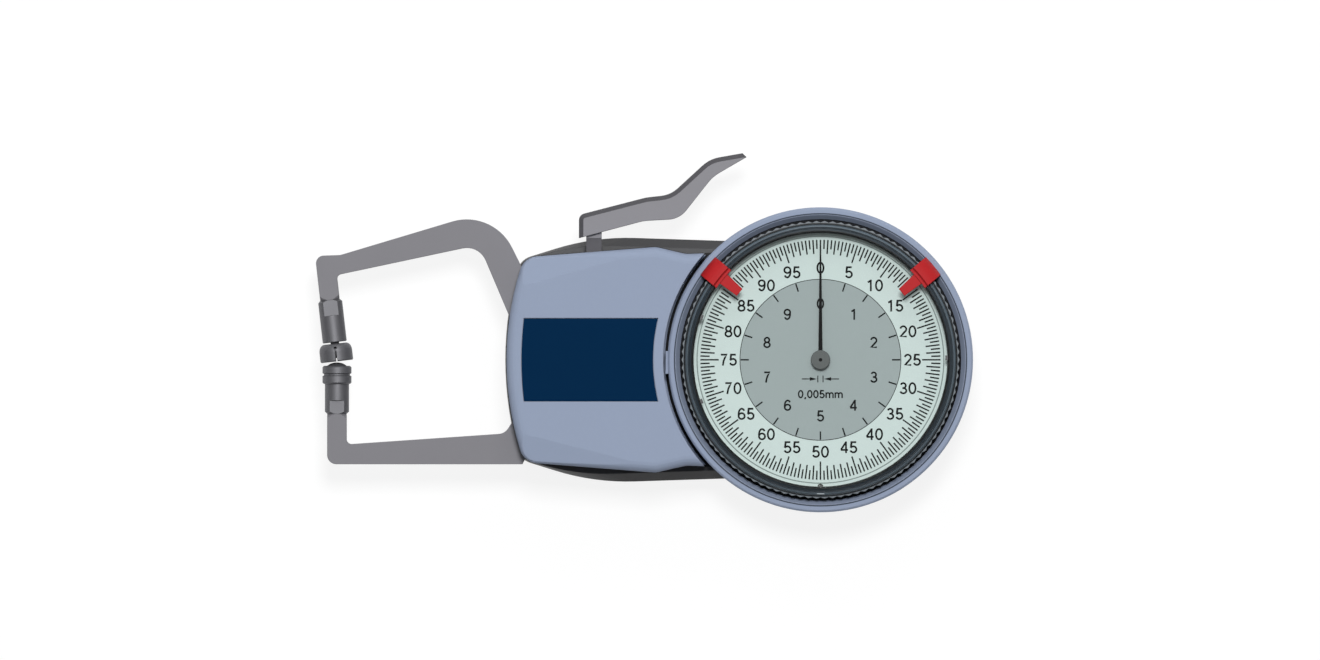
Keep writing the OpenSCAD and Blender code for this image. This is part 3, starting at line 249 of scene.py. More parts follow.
def fine_grain_group():
    group, given, result = new_group(
        "fine_grain",
        [("Colour", COLOUR, (0.5, 0.5, 0.5, 1)), ("Grain per Metre", FLOAT, 2000), ("Mottle", FLOAT, 0.1),
         ("Roughness", FLOAT, 0.4), ("Roughness Spread", FLOAT, 0.1)],
        [("Colour", COLOUR), ("Roughness", FLOAT), ("Height", FLOAT)],
    )
    place = object_place(group)
    grain = add_node(group, "ShaderNodeTexNoise")
    link(group, place, grain.inputs["Vector"])
    link(group, given.outputs["Grain per Metre"], grain.inputs["Scale"])
    patches = add_node(group, "ShaderNodeTexNoise")
    patches.inputs["Detail"].default_value = 3
    link(group, place, patches.inputs["Vector"])
    patch_scale = math_node(group, "DIVIDE", given.outputs["Grain per Metre"], grains_per_patch)
    link(group, patch_scale, patches.inputs["Scale"])
    both = math_node(group, "ADD", grain.outputs["Fac"], patches.outputs["Fac"])
    swing = math_node(group, "SUBTRACT", both, 1.0)
    shade = math_node(group, "ADD", math_node(group, "MULTIPLY", swing, given.outputs["Mottle"]), 1.0)
    tint = add_node(group, "ShaderNodeVectorMath", operation="SCALE")
    link(group, given.outputs["Colour"], tint.inputs[0])
    link(group, shade, tint.inputs["Scale"])
    rough = math_node(group, "MULTIPLY", swing, given.outputs["Roughness Spread"])
    link(group, tint.outputs[0], result.inputs["Colour"])
    link(group, math_node(group, "ADD", rough, given.outputs["Roughness"]), result.inputs["Roughness"])
    link(group, grain.outputs["Fac"], result.inputs["Height"])
    return group


fine_grain = fine_grain_group()
print(fine_grain.name, "has", len(fine_grain.nodes), "nodes")

# %% Soft edge
def soft_edge_group():
    group, given, result = new_group(
        "soft_edge",
        [("Width", FLOAT, 0.3 * mm), ("Gain", FLOAT, 6.0)],
        [("Normal", VECTOR), ("Edge", FLOAT)],
    )
    rounding = add_node(group, "ShaderNodeBevel", samples=4)
    link(group, given.outputs["Width"], rounding.inputs["Radius"])
    true_normal = add_node(group, "ShaderNodeNewGeometry").outputs["Normal"]
    dot = add_node(group, "ShaderNodeVectorMath", operation="DOT_PRODUCT")
    link(group, rounding.outputs["Normal"], dot.inputs[0])
    link(group, true_normal, dot.inputs[1])
    turn = math_node(group, "SUBTRACT", 1.0, dot.outputs["Value"])
    strength = math_node(group, "MULTIPLY", turn, given.outputs["Gain"])
    link(group, math_node(group, "MINIMUM", strength, 1.0), result.inputs["Edge"])
    link(group, rounding.outputs["Normal"], result.inputs["Normal"])
    return group


soft_edge = soft_edge_group()
print(soft_edge.name, "has", len(soft_edge.nodes), "nodes")

# %% Turned rings and ground lines
def turned_rings_group():
    group, given, result = new_group(
        "turned_rings", [("Rings per Metre", FLOAT, 4000)], [("Height", FLOAT)])
    flat = add_node(group, "ShaderNodeVectorMath", operation="MULTIPLY")
    flat.inputs[1].default_value = (1, 1, 0)
    link(group, object_place(group), flat.inputs[0])
    far = add_node(group, "ShaderNodeVectorMath", operation="LENGTH")
    link(group, flat.outputs[0], far.inputs[0])
    ring_number = math_node(group, "MULTIPLY", far.outputs["Value"], given.outputs["Rings per Metre"])
    lathe = add_node(group, "ShaderNodeTexNoise", noise_dimensions="1D")
    lathe.inputs["Detail"].default_value = 2
    lathe.inputs["Scale"].default_value = 1
    link(group, ring_number, lathe.inputs["W"])
    link(group, lathe.outputs["Fac"], result.inputs["Height"])
    return group


def ground_lines_group():
    group, given, result = new_group(
        "ground_lines", [("Lines per Metre", FLOAT, 5000), ("Stretch", FLOAT, 0.02)], [("Height", FLOAT)])
    pulled = add_node(group, "ShaderNodeVectorMath", operation="MULTIPLY")
    link(group, object_place(group), pulled.inputs[0])
    link(group, vector_node(group, given.outputs["Stretch"], 1, 1), pulled.inputs[1])
    lines = add_node(group, "ShaderNodeTexNoise")
    lines.inputs["Detail"].default_value = 3
    link(group, pulled.outputs[0], lines.inputs["Vector"])
    link(group, given.outputs["Lines per Metre"], lines.inputs["Scale"])
    link(group, lines.outputs["Fac"], result.inputs["Height"])
    return group


turned_rings = turned_rings_group()
ground_lines = ground_lines_group()
print("reliefs:", turned_rings.name, ground_lines.name)

# %% Zone mask and flank mask
# One metre lies far outside the gauge
no_limit = 1.0


def zone_mask_group():
    group, given, result = new_group(
        "zone_mask",
        [("Inner Radius", FLOAT, 0.0), ("Outer Radius", FLOAT, no_limit),
         ("Below Y", FLOAT, no_limit), ("Below Z", FLOAT, no_limit)],
        [("Zone", FLOAT)],
    )
    place = add_node(group, "ShaderNodeSeparateXYZ")
    link(group, object_place(group), place.inputs[0])
    squares = [math_node(group, "POWER", place.outputs[axis], 2.0) for axis in ("X", "Y")]
    far = math_node(group, "SQRT", math_node(group, "ADD", *squares))
    outside = math_node(group, "GREATER_THAN", far, given.outputs["Inner Radius"])
    inside = math_node(group, "LESS_THAN", far, given.outputs["Outer Radius"])
    zone = math_node(group, "MULTIPLY", outside, inside)
    for axis in ("Y", "Z"):
        below = math_node(group, "LESS_THAN", place.outputs[axis], given.outputs["Below " + axis])
        zone = math_node(group, "MULTIPLY", zone, below)
    link(group, zone, result.inputs["Zone"])
    return group


# Marks the sloping and upright faces, where a finish can take a painted shade.
def flank_mask_group():
    group, given, result = new_group("flank_mask", [("Flat Above", FLOAT, 0.97)], [("Flank", FLOAT)])
    facing = add_node(group, "ShaderNodeSeparateXYZ")
    link(group, add_node(group, "ShaderNodeTexCoord").outputs["Normal"], facing.inputs[0])
    flank_shade = math_node(group, "LESS_THAN", facing.outputs["Z"], given.outputs["Flat Above"])
    link(group, flank_shade, result.inputs["Flank"])
    return group


flank_mask = flank_mask_group()
zone_mask = zone_mask_group()
print("shared effects:", [group.name for group in bpy.data.node_groups])

# %% [markdown]
# ## Finishes
# Every finish is one Principled shader. Its colour and roughness come through *fine grain*, its relief
# through a Bump node, and where the piece has machined edges, its shading normal starts from
# *soft edge*. A table would hide what each finish is, so each has its own short call with the
# numbers a maker would ask for: colour, shine, grain, relief. Grain is counted per metre. Relief and
# the width of an edge are in millimetres.

# %% Helpers for a finish
def place_group(tree, group, **values):
    node = add_node(tree, "ShaderNodeGroup", node_tree=group)
    for label, value in values.items():
        node.inputs[label.replace("_", " ")].default_value = value
    return node


def lay_colour(tree, mask, under, over):
    """Lays one colour over what is there, as far as the mask says."""
    node = add_node(tree, "ShaderNodeMix", data_type="RGBA")
    link(tree, mask, node.inputs["Factor"])
    link(tree, under, node.inputs["A"])
    node.inputs["B"].default_value = over
    return node.outputs["Result"]


def raise_relief(tree, height, depth, under=None):
    """Turns heights into a normal, on top of the normal that is there."""
    node = add_node(tree, "ShaderNodeBump")
    node.inputs["Distance"].default_value = depth * mm
    link(tree, height, node.inputs["Height"])
    if under is not None:
        link(tree, under, node.inputs["Normal"])
    return node.outputs["Normal"]


print("helpers for colour and relief are ready")

# %% A finish from its few numbers
painted_edge_highlight = (0.9, 0.9, 0.92, 1)


def finish(name, colour, roughness, metallic=0.0, specular=0.5, grain=2000, mottle=0.06, spread=0.08,
           relief=0.004, edge=0.25, edge_light_and_shade_share=0.0, edge_light_and_shade_tone=painted_edge_highlight, flank_shade=None,
           pattern=None, pattern_relief=0.01):
    material = bpy.data.materials.new(name)
    material.use_nodes = True
    tree = material.node_tree
    shader = tree.nodes["Principled BSDF"]
    shader.inputs["Metallic"].default_value = metallic
    shader.inputs["Specular IOR Level"].default_value = specular
    base = place_group(tree, fine_grain, Colour=colour, Grain_per_Metre=grain, Mottle=mottle,
                       Roughness=roughness, Roughness_Spread=spread)
    tone = base.outputs["Colour"]
    normal = None
    # Sloping and upright faces take a painted shade.
    if flank_shade:
        tone = lay_colour(tree, place_group(tree, flank_mask).outputs["Flank"], tone, flank_shade)
    if edge:
        rim = place_group(tree, soft_edge, Width=edge * mm)
        normal = rim.outputs["Normal"]
        # The edge mask lays a painted highlight, or with a dark tone a thin painted shade line, along edges.
        if edge_light_and_shade_share:
            mask = math_node(tree, "MULTIPLY", rim.outputs["Edge"], edge_light_and_shade_share)
            tone = lay_colour(tree, mask, tone, edge_light_and_shade_tone)
    normal = raise_relief(tree, base.outputs["Height"], relief, normal)
    if pattern:
        marks = place_group(tree, pattern).outputs["Height"]
        normal = raise_relief(tree, marks, pattern_relief, normal)
    link(tree, tone, shader.inputs["Base Color"])
    link(tree, base.outputs["Roughness"], shader.inputs["Roughness"])
    link(tree, normal, shader.inputs["Normal"])
    return material


finishes = {}
print("finishes so far:", len(finishes))

# %% [markdown]
# ## Casings
# Cover and dial ring carry a satin blue enamel, the rear case is moulded in charcoal plastic, the label is
# a thin navy plate and the seals are rubber. Enamel could be a colour under a clear coat, but this one
# has hardly any gloss, so a rough shader is nearer to it. Enamel and plastic take a faint painted highlight
# along their edges.

# %% Enamel, moulded plastic, label and rubber
# Enamel and plastic: a faint painted highlight along the edges.
finishes["blue_enamel"] = finish(
    "satin_blue_enamel", from_screen(149, 161, 184), roughness=0.7, specular=0.15,
    grain=1500, mottle=0.03, relief=0.006, edge=0.35, edge_light_and_shade_share=0.12)
finishes["case_plastic"] = finish(
    "charcoal_moulding", from_screen(58, 58, 60), roughness=0.55,
    grain=2600, mottle=0.12, relief=0.012, edge=0.4, edge_light_and_shade_share=0.03)
finishes["label_blue"] = finish(
    "bare_navy_label", from_screen(9, 42, 74), roughness=0.5, specular=0.0,
    grain=3000, mottle=0.05, relief=0.002, edge=0.1)
finishes["seal_rubber"] = finish(
    "black_rubber", from_screen(24, 24, 25), roughness=0.75, grain=3000, mottle=0.15, relief=0.01)
print("casing finishes:", list(finishes))

# %% [markdown]
# ## Painted zones
# From the front, the dial ring is dark inside, a thin shade runs along the inner edge of its rim, and a
# dark line lies in the gap between ring and cover. Deep shadow could give that, but the soft light that
# suits the dial reaches into these places. So each zone gets a painted shade, a second colour found by its
# distance from the dial's axis. The ring's small tab bridges the gap and stays pale: the painted shade in the
# gap ends lower.

# %% Painted shade on the dial ring
def paint_zone(material, colour, **limits):
    """Gives one zone of a finish another colour."""
    tree = material.node_tree
    base_colour = tree.nodes["Principled BSDF"].inputs["Base Color"]
    mask = place_group(tree, zone_mask, **limits).outputs["Zone"]
    link(tree, lay_colour(tree, mask, base_colour.links[0].from_socket, colour), base_colour)


ring_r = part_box("dial_ring")[1].x
painted_shade_inside_r = ring_r - 2.45 * mm
rim_shade_inner = ring_r - 1.48 * mm
rim_shade_outer = ring_r - 1.2 * mm
gap_shade_inner = ring_r + 0.05 * mm
gap_shade_outer = ring_r + 0.6 * mm
gap_shade_top = ring_top - 0.8 * mm
enamel = finishes["blue_enamel"]
# Painted shade: inside the fluted edge, in the gap to the cover, and along the foot of the rim.
paint_zone(enamel, from_screen(26, 28, 32), Outer_Radius=painted_shade_inside_r)
paint_zone(enamel, from_screen(28, 30, 34), Inner_Radius=gap_shade_inner, Outer_Radius=gap_shade_outer,
           Below_Z=gap_shade_top)
paint_zone(enamel, from_screen(70, 77, 90), Inner_Radius=rim_shade_inner, Outer_Radius=rim_shade_outer)
print("ring radius", round(ring_r / mm, 2), "mm, dark inside", round(painted_shade_inside_r / mm, 2), "mm")

# %% [markdown]
# ## Steel, lacquer and brass
# The arms are ground and plated, the contacts are turned, the lever is lacquered and the wheels inside are
# brass. A pure metal shader would mirror the pale studio and turn white or black with its angle. The
# arms are an even satin grey, so they are only a little metallic and the grinding is a fine relief. The
# contacts stay more metallic, which shades their rounds. Lever and contacts have a thin painted shade line
# along their edges, and the lever's sides and its stem carry a painted shade that makes them darker than its
# front.

# %% Arms, contacts, screws, lever and wheels
lever_stem_top = 25.2 * mm

# The arms' edges take a faint painted highlight.
finishes["arm_steel"] = finish(
    "satin_plated_arm", from_screen(126, 125, 130), roughness=0.65, metallic=0.15,
    grain=2400, mottle=0.05, relief=0.004, edge=0.2, edge_light_and_shade_share=0.03,
    pattern=ground_lines, pattern_relief=0.002)
# A thin painted shade line along the contacts' edges.
finishes["contact_steel"] = finish(
    "turned_contact_steel", from_screen(112, 112, 116), roughness=0.55, metallic=0.6,
    grain=3000, mottle=0.08, relief=0.004, edge=0.12, edge_light_and_shade_share=0.6, edge_light_and_shade_tone=from_screen(48, 48, 50))
finishes["screw_steel"] = finish(
    "screw_steel", from_screen(150, 150, 154), roughness=0.35, metallic=1.0,
    grain=3000, mottle=0.08, edge=0.1)
# A thin painted shade line along the lever's edges, and a painted shade on its sloping and upright faces.
finishes["lever_alloy"] = finish(
    "grey_lever_lacquer", from_screen(142, 141, 146), roughness=0.65, specular=0.15,
    grain=1800, mottle=0.04, relief=0.005, edge=0.2, edge_light_and_shade_share=0.6, edge_light_and_shade_tone=from_screen(52, 52, 54),
    flank_shade=from_screen(88, 87, 91))
finishes["brass"] = finish(
    "machined_brass", from_screen(196, 164, 92), roughness=0.35, metallic=1.0,
    grain=2500, mottle=0.08, edge=0.1, pattern=ground_lines, pattern_relief=0.002)
# Painted shade on the lever's stem, below its front.
paint_zone(finishes["lever_alloy"], from_screen(92, 91, 95), Below_Y=lever_stem_top)
print("finishes so far:", len(finishes))

# %% [markdown]
# ## Dial, hands, bezel and markers
# The dial is a pale lacquer with a hint of green, the hands are matt black and the markers are red plastic.
# The bezel is black and turned to a cone with a groove. In soft light its lip, its two bands and the
# groove would run into one grey. A hard lamp could part them, but it would glare on the dial, so lip and
# groove get a painted shade and the two bands a painted highlight, each a ring about the dial's axis.

# %% Lacquer, hub, bezel and marker plastic
finishes["dial_white"] = finish(
    "pale_dial_lacquer", from_screen(216, 229, 227), roughness=0.7, specular=0.1,
    grain=4000, mottle=0.015, relief=0.001, edge=0)
finishes["hand_black"] = finish(
    "black_hand_lacquer", from_screen(6, 6, 7), roughness=0.8, specular=0.0, grain=4000, mottle=0.1, edge=0)
# The hub's edges take a painted highlight.
finishes["hub_grey"] = finish(
    "turned_grey_hub", from_screen(84, 88, 88), roughness=0.6, metallic=0.1,
    grain=4000, mottle=0.06, edge=0.1, edge_light_and_shade_share=0.1, pattern=turned_rings, pattern_relief=0.004)
# The bezel's edges take a faint painted highlight.
finishes["bezel_black"] = finish(
    "black_bezel", from_screen(44, 55, 63), roughness=0.42, specular=0.6,
    grain=2500, mottle=0.1, relief=0.004, edge=0.1, edge_light_and_shade_share=0.04,
    pattern=turned_rings, pattern_relief=0.006)
# A painted shade line along the markers' edges.
finishes["marker_red"] = finish(
    "red_marker_plastic", from_screen(184, 36, 40), roughness=0.6, specular=0.15,
    grain=2200, mottle=0.05, relief=0.004, edge=0.2, edge_light_and_shade_share=0.55, edge_light_and_shade_tone=from_screen(92, 12, 16))
print("finishes so far:", len(finishes))

# %% Painted shade and highlights on the bezel, from its lip outwards
lip_shade = (0.0, 26.75 * mm)
inner_highlight = (27.5 * mm, 27.85 * mm)
groove_shade = (27.98 * mm, 28.25 * mm)
outer_highlight = (28.25 * mm, 28.62 * mm)
bezel_light_and_shade = [
    (lip_shade, from_screen(16, 19, 22)),
    (inner_highlight, from_screen(96, 110, 120)),
    (groove_shade, from_screen(14, 17, 20)),
    (outer_highlight, from_screen(78, 88, 96)),
]
# Lip and groove take a painted shade, the two bands a painted highlight.
for (inside, outside), tone in bezel_light_and_shade:
    paint_zone(finishes["bezel_black"], tone, Inner_Radius=inside, Outer_Radius=outside)
print("rings on the bezel:", len(bezel_light_and_shade))

# %% [markdown]
# ## Crystal
# The crystal is a flat clear disc, thin beside its width. Real glass, which bends light, would show the
# dial a hair nearer, but it keeps the lamps from reaching the dial or counts their light twice. So the
# crystal is a plain see-through shader with a weak mirror mixed in. A Fresnel node could set the mirror's
# share, but on the lower face, seen from inside, it would turn into a full mirror, so the share is one
# small number, as on a coated pane. The photo shows the dial almost as if it were open.

# %% Clear crystal
mirror_share = 0.03
mirror_roughness = 0.03
crystal_tint = (0.99, 1.0, 0.995, 1)

clear = bpy.data.materials.new("clear_crystal")
clear.use_nodes = True
tree = clear.node_tree
sheen = tree.nodes["Principled BSDF"]
sheen.inputs["Base Color"].default_value = (1, 1, 1, 1)
sheen.inputs["Metallic"].default_value = 1.0
sheen.inputs["Roughness"].default_value = mirror_roughness
through = add_node(tree, "ShaderNodeBsdfTransparent")
through.inputs["Color"].default_value = crystal_tint
mix = add_node(tree, "ShaderNodeMixShader")
mix.inputs["Fac"].default_value = mirror_share
link(tree, through.outputs[0], mix.inputs[1])
link(tree, sheen.outputs[0], mix.inputs[2])
link(tree, mix.outputs[0], tree.nodes["Material Output"].inputs["Surface"])
finishes["crystal_clear"] = clear
print("crystal reflects", mirror_share)

# %% [markdown]
# ## Dressing the frame
# Every piece of the frame names the slot of its finish. Each could be dressed by hand, but the record
# already lists piece and slot side by side, so one loop hands out all finishes.

# %% Every piece takes the finish of its slot
for part in frame["record"]["subparts"]:
    piece = nodes[part["node"]]
    piece.data.materials.clear()
    piece.data.materials.append(finishes[part["material_slot"]])

# %% [markdown]
# ## Printed dial
# The dial is printed in one dark ink over a pale face, with a grey disc in the middle. Print could be
# painted in a shader, but thin raised shapes stay crisp at any distance and in any renderer.
# The two hundred ticks of the outer scale follow one rule, so a small Geometry Nodes tree makes them:
# a point per tick, a bar on each point, and a length that depends on the tick's number.

# %% Ink
print_t = 0.02 * mm
dial_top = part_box("dial_face")[1].z
field_level = dial_top + print_t

ink = finish(
    "dial_ink", from_screen(10, 13, 13), roughness=0.7, specular=0.0,
    grain=5000, mottle=0.05, relief=0.0, edge=0)
grey_field = finish(
    "grey_dial_field", from_screen(167, 177, 178), roughness=0.7, specular=0.1,
    grain=4000, mottle=0.015, relief=0.001, edge=0)
rim_line = finish("rim_line_ink", from_screen(128, 142, 140), roughness=0.6, edge=0)
print("the print starts at", round(dial_top / mm, 2), "mm")

# %% Tick tree
WHOLE = "NodeSocketInt"
tick_inputs = [
    ("Count", WHOLE, 200), ("Outer Radius", FLOAT, 25 * mm),
    ("Short", FLOAT, 2 * mm), ("Middle", FLOAT, 3 * mm), ("Long", FLOAT, 4 * mm),
    ("Middle Every", WHOLE, 2), ("Long Every", WHOLE, 10),
    ("Width", FLOAT, 0.15 * mm), ("Thickness", FLOAT, print_t), ("Level", FLOAT, 0.0),
    ("Ink", "NodeSocketMaterial", None),
]


def tick_tree():
    tree = bpy.data.node_groups.new("scale_ticks", "GeometryNodeTree")
    for label, kind, value in tick_inputs:
        socket = tree.interface.new_socket(label, in_out="INPUT", socket_type=kind)
        if value is not None:
            socket.default_value = value
    tree.interface.new_socket("Geometry", in_out="OUTPUT", socket_type="NodeSocketGeometry")
    given = add_node(tree, "NodeGroupInput").outputs
    number = add_node(tree, "GeometryNodeInputIndex").outputs[0]

    def falls_on(every):
        rest = math_node(tree, "MODULO", number, given[every])
        return math_node(tree, "LESS_THAN", rest, 0.5)

    def pick(test, no, yes):
        node = add_node(tree, "GeometryNodeSwitch", input_type="FLOAT")
        link(tree, test, node.inputs["Switch"])
        link(tree, no, node.inputs["False"])
        link(tree, yes, node.inputs["True"])
        return node.outputs[0]

    length = pick(falls_on("Middle Every"), given["Short"], given["Middle"])
    length = pick(falls_on("Long Every"), length, given["Long"])
    angle = math_node(tree, "MULTIPLY", number, math_node(tree, "DIVIDE", math.tau, given["Count"]))
    middle = math_node(tree, "SUBTRACT", given["Outer Radius"], math_node(tree, "MULTIPLY", length, 0.5))
    half_thick = math_node(tree, "MULTIPLY", given["Thickness"], 0.5)
    place = vector_node(
        tree,
        math_node(tree, "MULTIPLY", math_node(tree, "SINE", angle), middle),
        math_node(tree, "MULTIPLY", math_node(tree, "COSINE", angle), middle),
        math_node(tree, "ADD", given["Level"], half_thick),
    )
    points = add_node(tree, "GeometryNodePoints")
    link(tree, given["Count"], points.inputs["Count"])
    link(tree, place, points.inputs["Position"])
    bar_of_one = add_node(tree, "GeometryNodeMeshCube")
    link(tree, vector_node(tree, given["Width"], 1, given["Thickness"]), bar_of_one.inputs["Size"])
    copies = add_node(tree, "GeometryNodeInstanceOnPoints")
    link(tree, points.outputs[0], copies.inputs["Points"])
    link(tree, bar_of_one.outputs["Mesh"], copies.inputs["Instance"])
    link(tree, vector_node(tree, 0, 0, math_node(tree, "MULTIPLY", angle, -1)), copies.inputs["Rotation"])
    link(tree, vector_node(tree, 1, length, 1), copies.inputs["Scale"])
    real = add_node(tree, "GeometryNodeRealizeInstances")
    link(tree, copies.outputs[0], real.inputs[0])
    dressed = add_node(tree, "GeometryNodeSetMaterial")
    link(tree, real.outputs[0], dressed.inputs["Geometry"])
    link(tree, given["Ink"], dressed.inputs["Material"])
    link(tree, dressed.outputs[0], add_node(tree, "NodeGroupOutput").inputs[0])
    return tree


scale_ticks = tick_tree()
print("tick tree with", len(scale_ticks.nodes), "nodes")

# %% Turning a tree's result into a plain piece
def add_piece(name, mesh, body):
    piece = bpy.data.objects.new(name, mesh)
    bpy.context.scene.collection.objects.link(piece)
    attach(piece, body)
    return piece


def mesh_from_tree(name, tree, **values):
    maker = bpy.data.objects.new(name, bpy.data.meshes.new(name))
    bpy.context.scene.collection.objects.link(maker)
    modifier = maker.modifiers.new("maker", "NODES")
    modifier.node_group = tree
    for item in tree.interface.items_tree:
        if item.in_out == "INPUT" and item.name.replace(" ", "_") in values:
            modifier[item.identifier] = values[item.name.replace(" ", "_")]
    ready = maker.evaluated_get(bpy.context.evaluated_depsgraph_get())
    mesh = bpy.data.meshes.new_from_object(ready)
    mesh.name = name
    bpy.data.objects.remove(maker)
    return mesh


print("inputs of the tick tree:", len(tick_inputs))

# %% Outer and inner scale
tick_w = 0.3 * mm
inner_tick = 1.7 * mm
faces_per_tick = 6

outer = mesh_from_tree(
    "outer_scale", scale_ticks, Count=200, Outer_Radius=24.8 * mm,
    Short=1.9 * mm, Middle=2.9 * mm, Long=3.8 * mm, Middle_Every=2, Long_Every=10,
    Width=tick_w, Thickness=print_t, Level=dial_top, Ink=ink)
add_piece("outer_scale", outer, "bezel_group")
inner = mesh_from_tree(
    "inner_scale", scale_ticks, Count=20, Outer_Radius=16.5 * mm,
    Short=inner_tick, Middle=inner_tick, Long=inner_tick, Middle_Every=1, Long_Every=1,
    Width=tick_w, Thickness=print_t, Level=field_level, Ink=ink)
add_piece("inner_scale", inner, "bezel_group")
for scale in (outer, inner):
    print("ticks of the", scale.name, len(scale.polygons) // faces_per_tick)

# %% [markdown]
# ## Plates, rings and numbers
# The grey field, its thin outline and the fine line near the dial's rim are flat rings. A curve with
# a little depth could draw them, but it would have to be turned into a mesh before it is placed.
# Two small helpers go straight to a mesh: one raises an outline to a plate, the other fills the band
# between two outlines. The numbers could be Blender's own text, but its letters are wide and round,
# while the dial has plain narrow figures with an even stroke. So each figure is a few lines and arcs
# in a box one unit high, and every stroke becomes a plate of the same width, upright on the dial.

# %% Plates and bands from outlines
def add_plate(shape, outline, low, high):
    """Adds a closed plate to a mesh under construction; the outline runs counterclockwise."""
    under = [shape.verts.new((x, y, low)) for x, y in outline]
    over = [shape.verts.new((x, y, high)) for x, y in outline]
    shape.faces.new(over)
    shape.faces.new(list(reversed(under)))
    for k in range(len(outline)):
        after = (k + 1) % len(outline)
        shape.faces.new((under[k], under[after], over[after], over[k]))


def add_band(shape, outside, inside, low, high):
    """Adds a closed band between two outlines with the same number of points."""
    edges = ((outside, low), (outside, high), (inside, high), (inside, low))
    loops = [[shape.verts.new((x, y, z)) for x, y in line] for line, z in edges]
    for k in range(len(outside)):
        after = (k + 1) % len(outside)
        for one, other in zip(loops, loops[1:] + loops[:1]):
            shape.faces.new((one[k], one[after], other[after], other[k]))


def bar(x0, y0, x1, y1):
    return [(x0, y0), (x1, y0), (x1, y1), (x0, y1)]


def disc(radius, sides=24):
    turns = [math.tau * k / sides for k in range(sides)]
    return [(radius * math.cos(t), radius * math.sin(t)) for t in turns]


def piece_from(shape, name, material, body):
    mesh = bpy.data.meshes.new(name)
    shape.to_mesh(mesh)
    shape.free()
    mesh.materials.append(material)
    return add_piece(name, mesh, body)


print("a plain disc has", len(disc(mm)), "sides")

# %% Flat rings
ring_sides = 128
field_hole_r = 2.0 * mm
field_r = 16.6 * mm
outline_in = 0.04 * mm
outline_out = 0.1 * mm
outline_t = 1.5 * print_t
rim_line_inner = 25.38 * mm
rim_line_outer = 25.6 * mm


def flat_ring(name, inside, outside, thickness, material):
    shape = bmesh.new()
    add_band(shape, disc(outside, ring_sides), disc(inside, ring_sides), dial_top, dial_top + thickness)
    return piece_from(shape, name, material, "bezel_group")


flat_ring("grey_field", field_hole_r, field_r, print_t, grey_field)
flat_ring("field_outline", field_r - outline_in, field_r + outline_out, outline_t, ink)
flat_ring("rim_line", rim_line_inner, rim_line_outer, print_t, rim_line)
print("grey field out to", round(field_r / mm, 1), "mm")

# %% Figures from strokes
figure_width = 0.776
figure_widths = {",": 0.39, "m": 1.16}


def arc(cx, cy, rx, ry, first, last, steps=16):
    turns = [math.radians(first + (last - first) * k / steps) for k in range(steps + 1)]
    return [(cx + rx * math.cos(t), cy + ry * math.sin(t)) for t in turns]


def turned_over(strokes):
    return [[(figure_width - x, 1 - y) for x, y in stroke] for stroke in strokes]


figures = {
    "0": [arc(0.388, 0.5, 0.265, 0.44, 90, 450, 32)],
    "1": [[(0.46, 0), (0.46, 1)], [(0.46, 0.95), (0.37, 0.85), (0.2, 0.765)]],
    "2": [arc(0.38, 0.69, 0.255, 0.25, 170, -28) + [(0.15, 0.06), (0.67, 0.06)]],
    "3": [arc(0.375, 0.725, 0.215, 0.215, 160, -90) + [(0.3, 0.51)], arc(0.38, 0.285, 0.26, 0.225, 90, -165)],
    "4": [[(0.53, 0), (0.53, 1)], [(0.53, 0.95), (0.1, 0.29)], [(0.08, 0.27), (0.7, 0.27)]],
    "5": [[(0.63, 0.94), (0.23, 0.94), (0.165, 0.46)], arc(0.385, 0.32, 0.265, 0.26, 150, -160)],
    "6": [arc(0.4, 0.31, 0.26, 0.25, 90, 450, 28), arc(0.41, 0.48, 0.27, 0.46, 38, 180) + [(0.14, 0.31)]],
    "7": [[(0.12, 0.94), (0.64, 0.94), (0.48, 0.7), (0.36, 0.4), (0.29, 0)]],
    "8": [arc(0.388, 0.725, 0.215, 0.215, 90, 450, 28), arc(0.388, 0.285, 0.262, 0.225, 90, 450, 28)],
    ",": [[(0.2, 0.12), (0.2, 0), (0.13, -0.15)]],
    "m": [[(0.14, 0), (0.14, 0.72)], arc(0.36, 0.44, 0.22, 0.22, 180, 0) + [(0.58, 0)],
          arc(0.8, 0.44, 0.22, 0.22, 180, 0) + [(1.02, 0)]],
}
figures["9"] = turned_over(figures["6"])
print("figures drawn:", "".join(sorted(figures)))

# %% Strokes become plates
same_place = 1e-6
least_bend = 0.5


def two_sides(line, half):
    """The points to the left and to the right of a line, half a stroke away."""
    closed = math.dist(line[0], line[-1]) < same_place
    points = line[:-1] if closed else line
    left, right = [], []
    for k, (x, y) in enumerate(points):
        before = points[k - 1] if closed or k else points[0]
        after = points[(k + 1) % len(points)] if closed or k + 1 < len(points) else points[-1]
        along = Vector((after[0] - before[0], after[1] - before[1])).normalized()
        step = Vector((x, y)) - Vector(before)
        bend = along.dot(step.normalized()) if step.length else 1.0
        off = Vector((-along.y, along.x)) * half / max(bend, least_bend)
        left.append((x + off.x, y + off.y))
        right.append((x - off.x, y - off.y))
    return left, right, closed


def print_text(shape, words, centre, height, stroke_width, level=dial_top):
    """Adds words to a mesh under construction, centred on a point of the dial."""
    widths = [figure_widths.get(letter, figure_width) for letter in words]
    start = centre[0] - height * sum(widths) / 2
    for letter, width in zip(words, widths):
        for stroke in figures[letter]:
            line = [(start + height * x, centre[1] + height * (y - 0.5)) for x, y in stroke]
            left, right, closed = two_sides(line, stroke_width / 2)
            if closed:
                add_band(shape, right, left, level, level + print_t)
            else:
                add_plate(shape, right + left[::-1], level, level + print_t)
        start += height * width


print("strokes in all figures:", sum(len(strokes) for strokes in figures.values()))

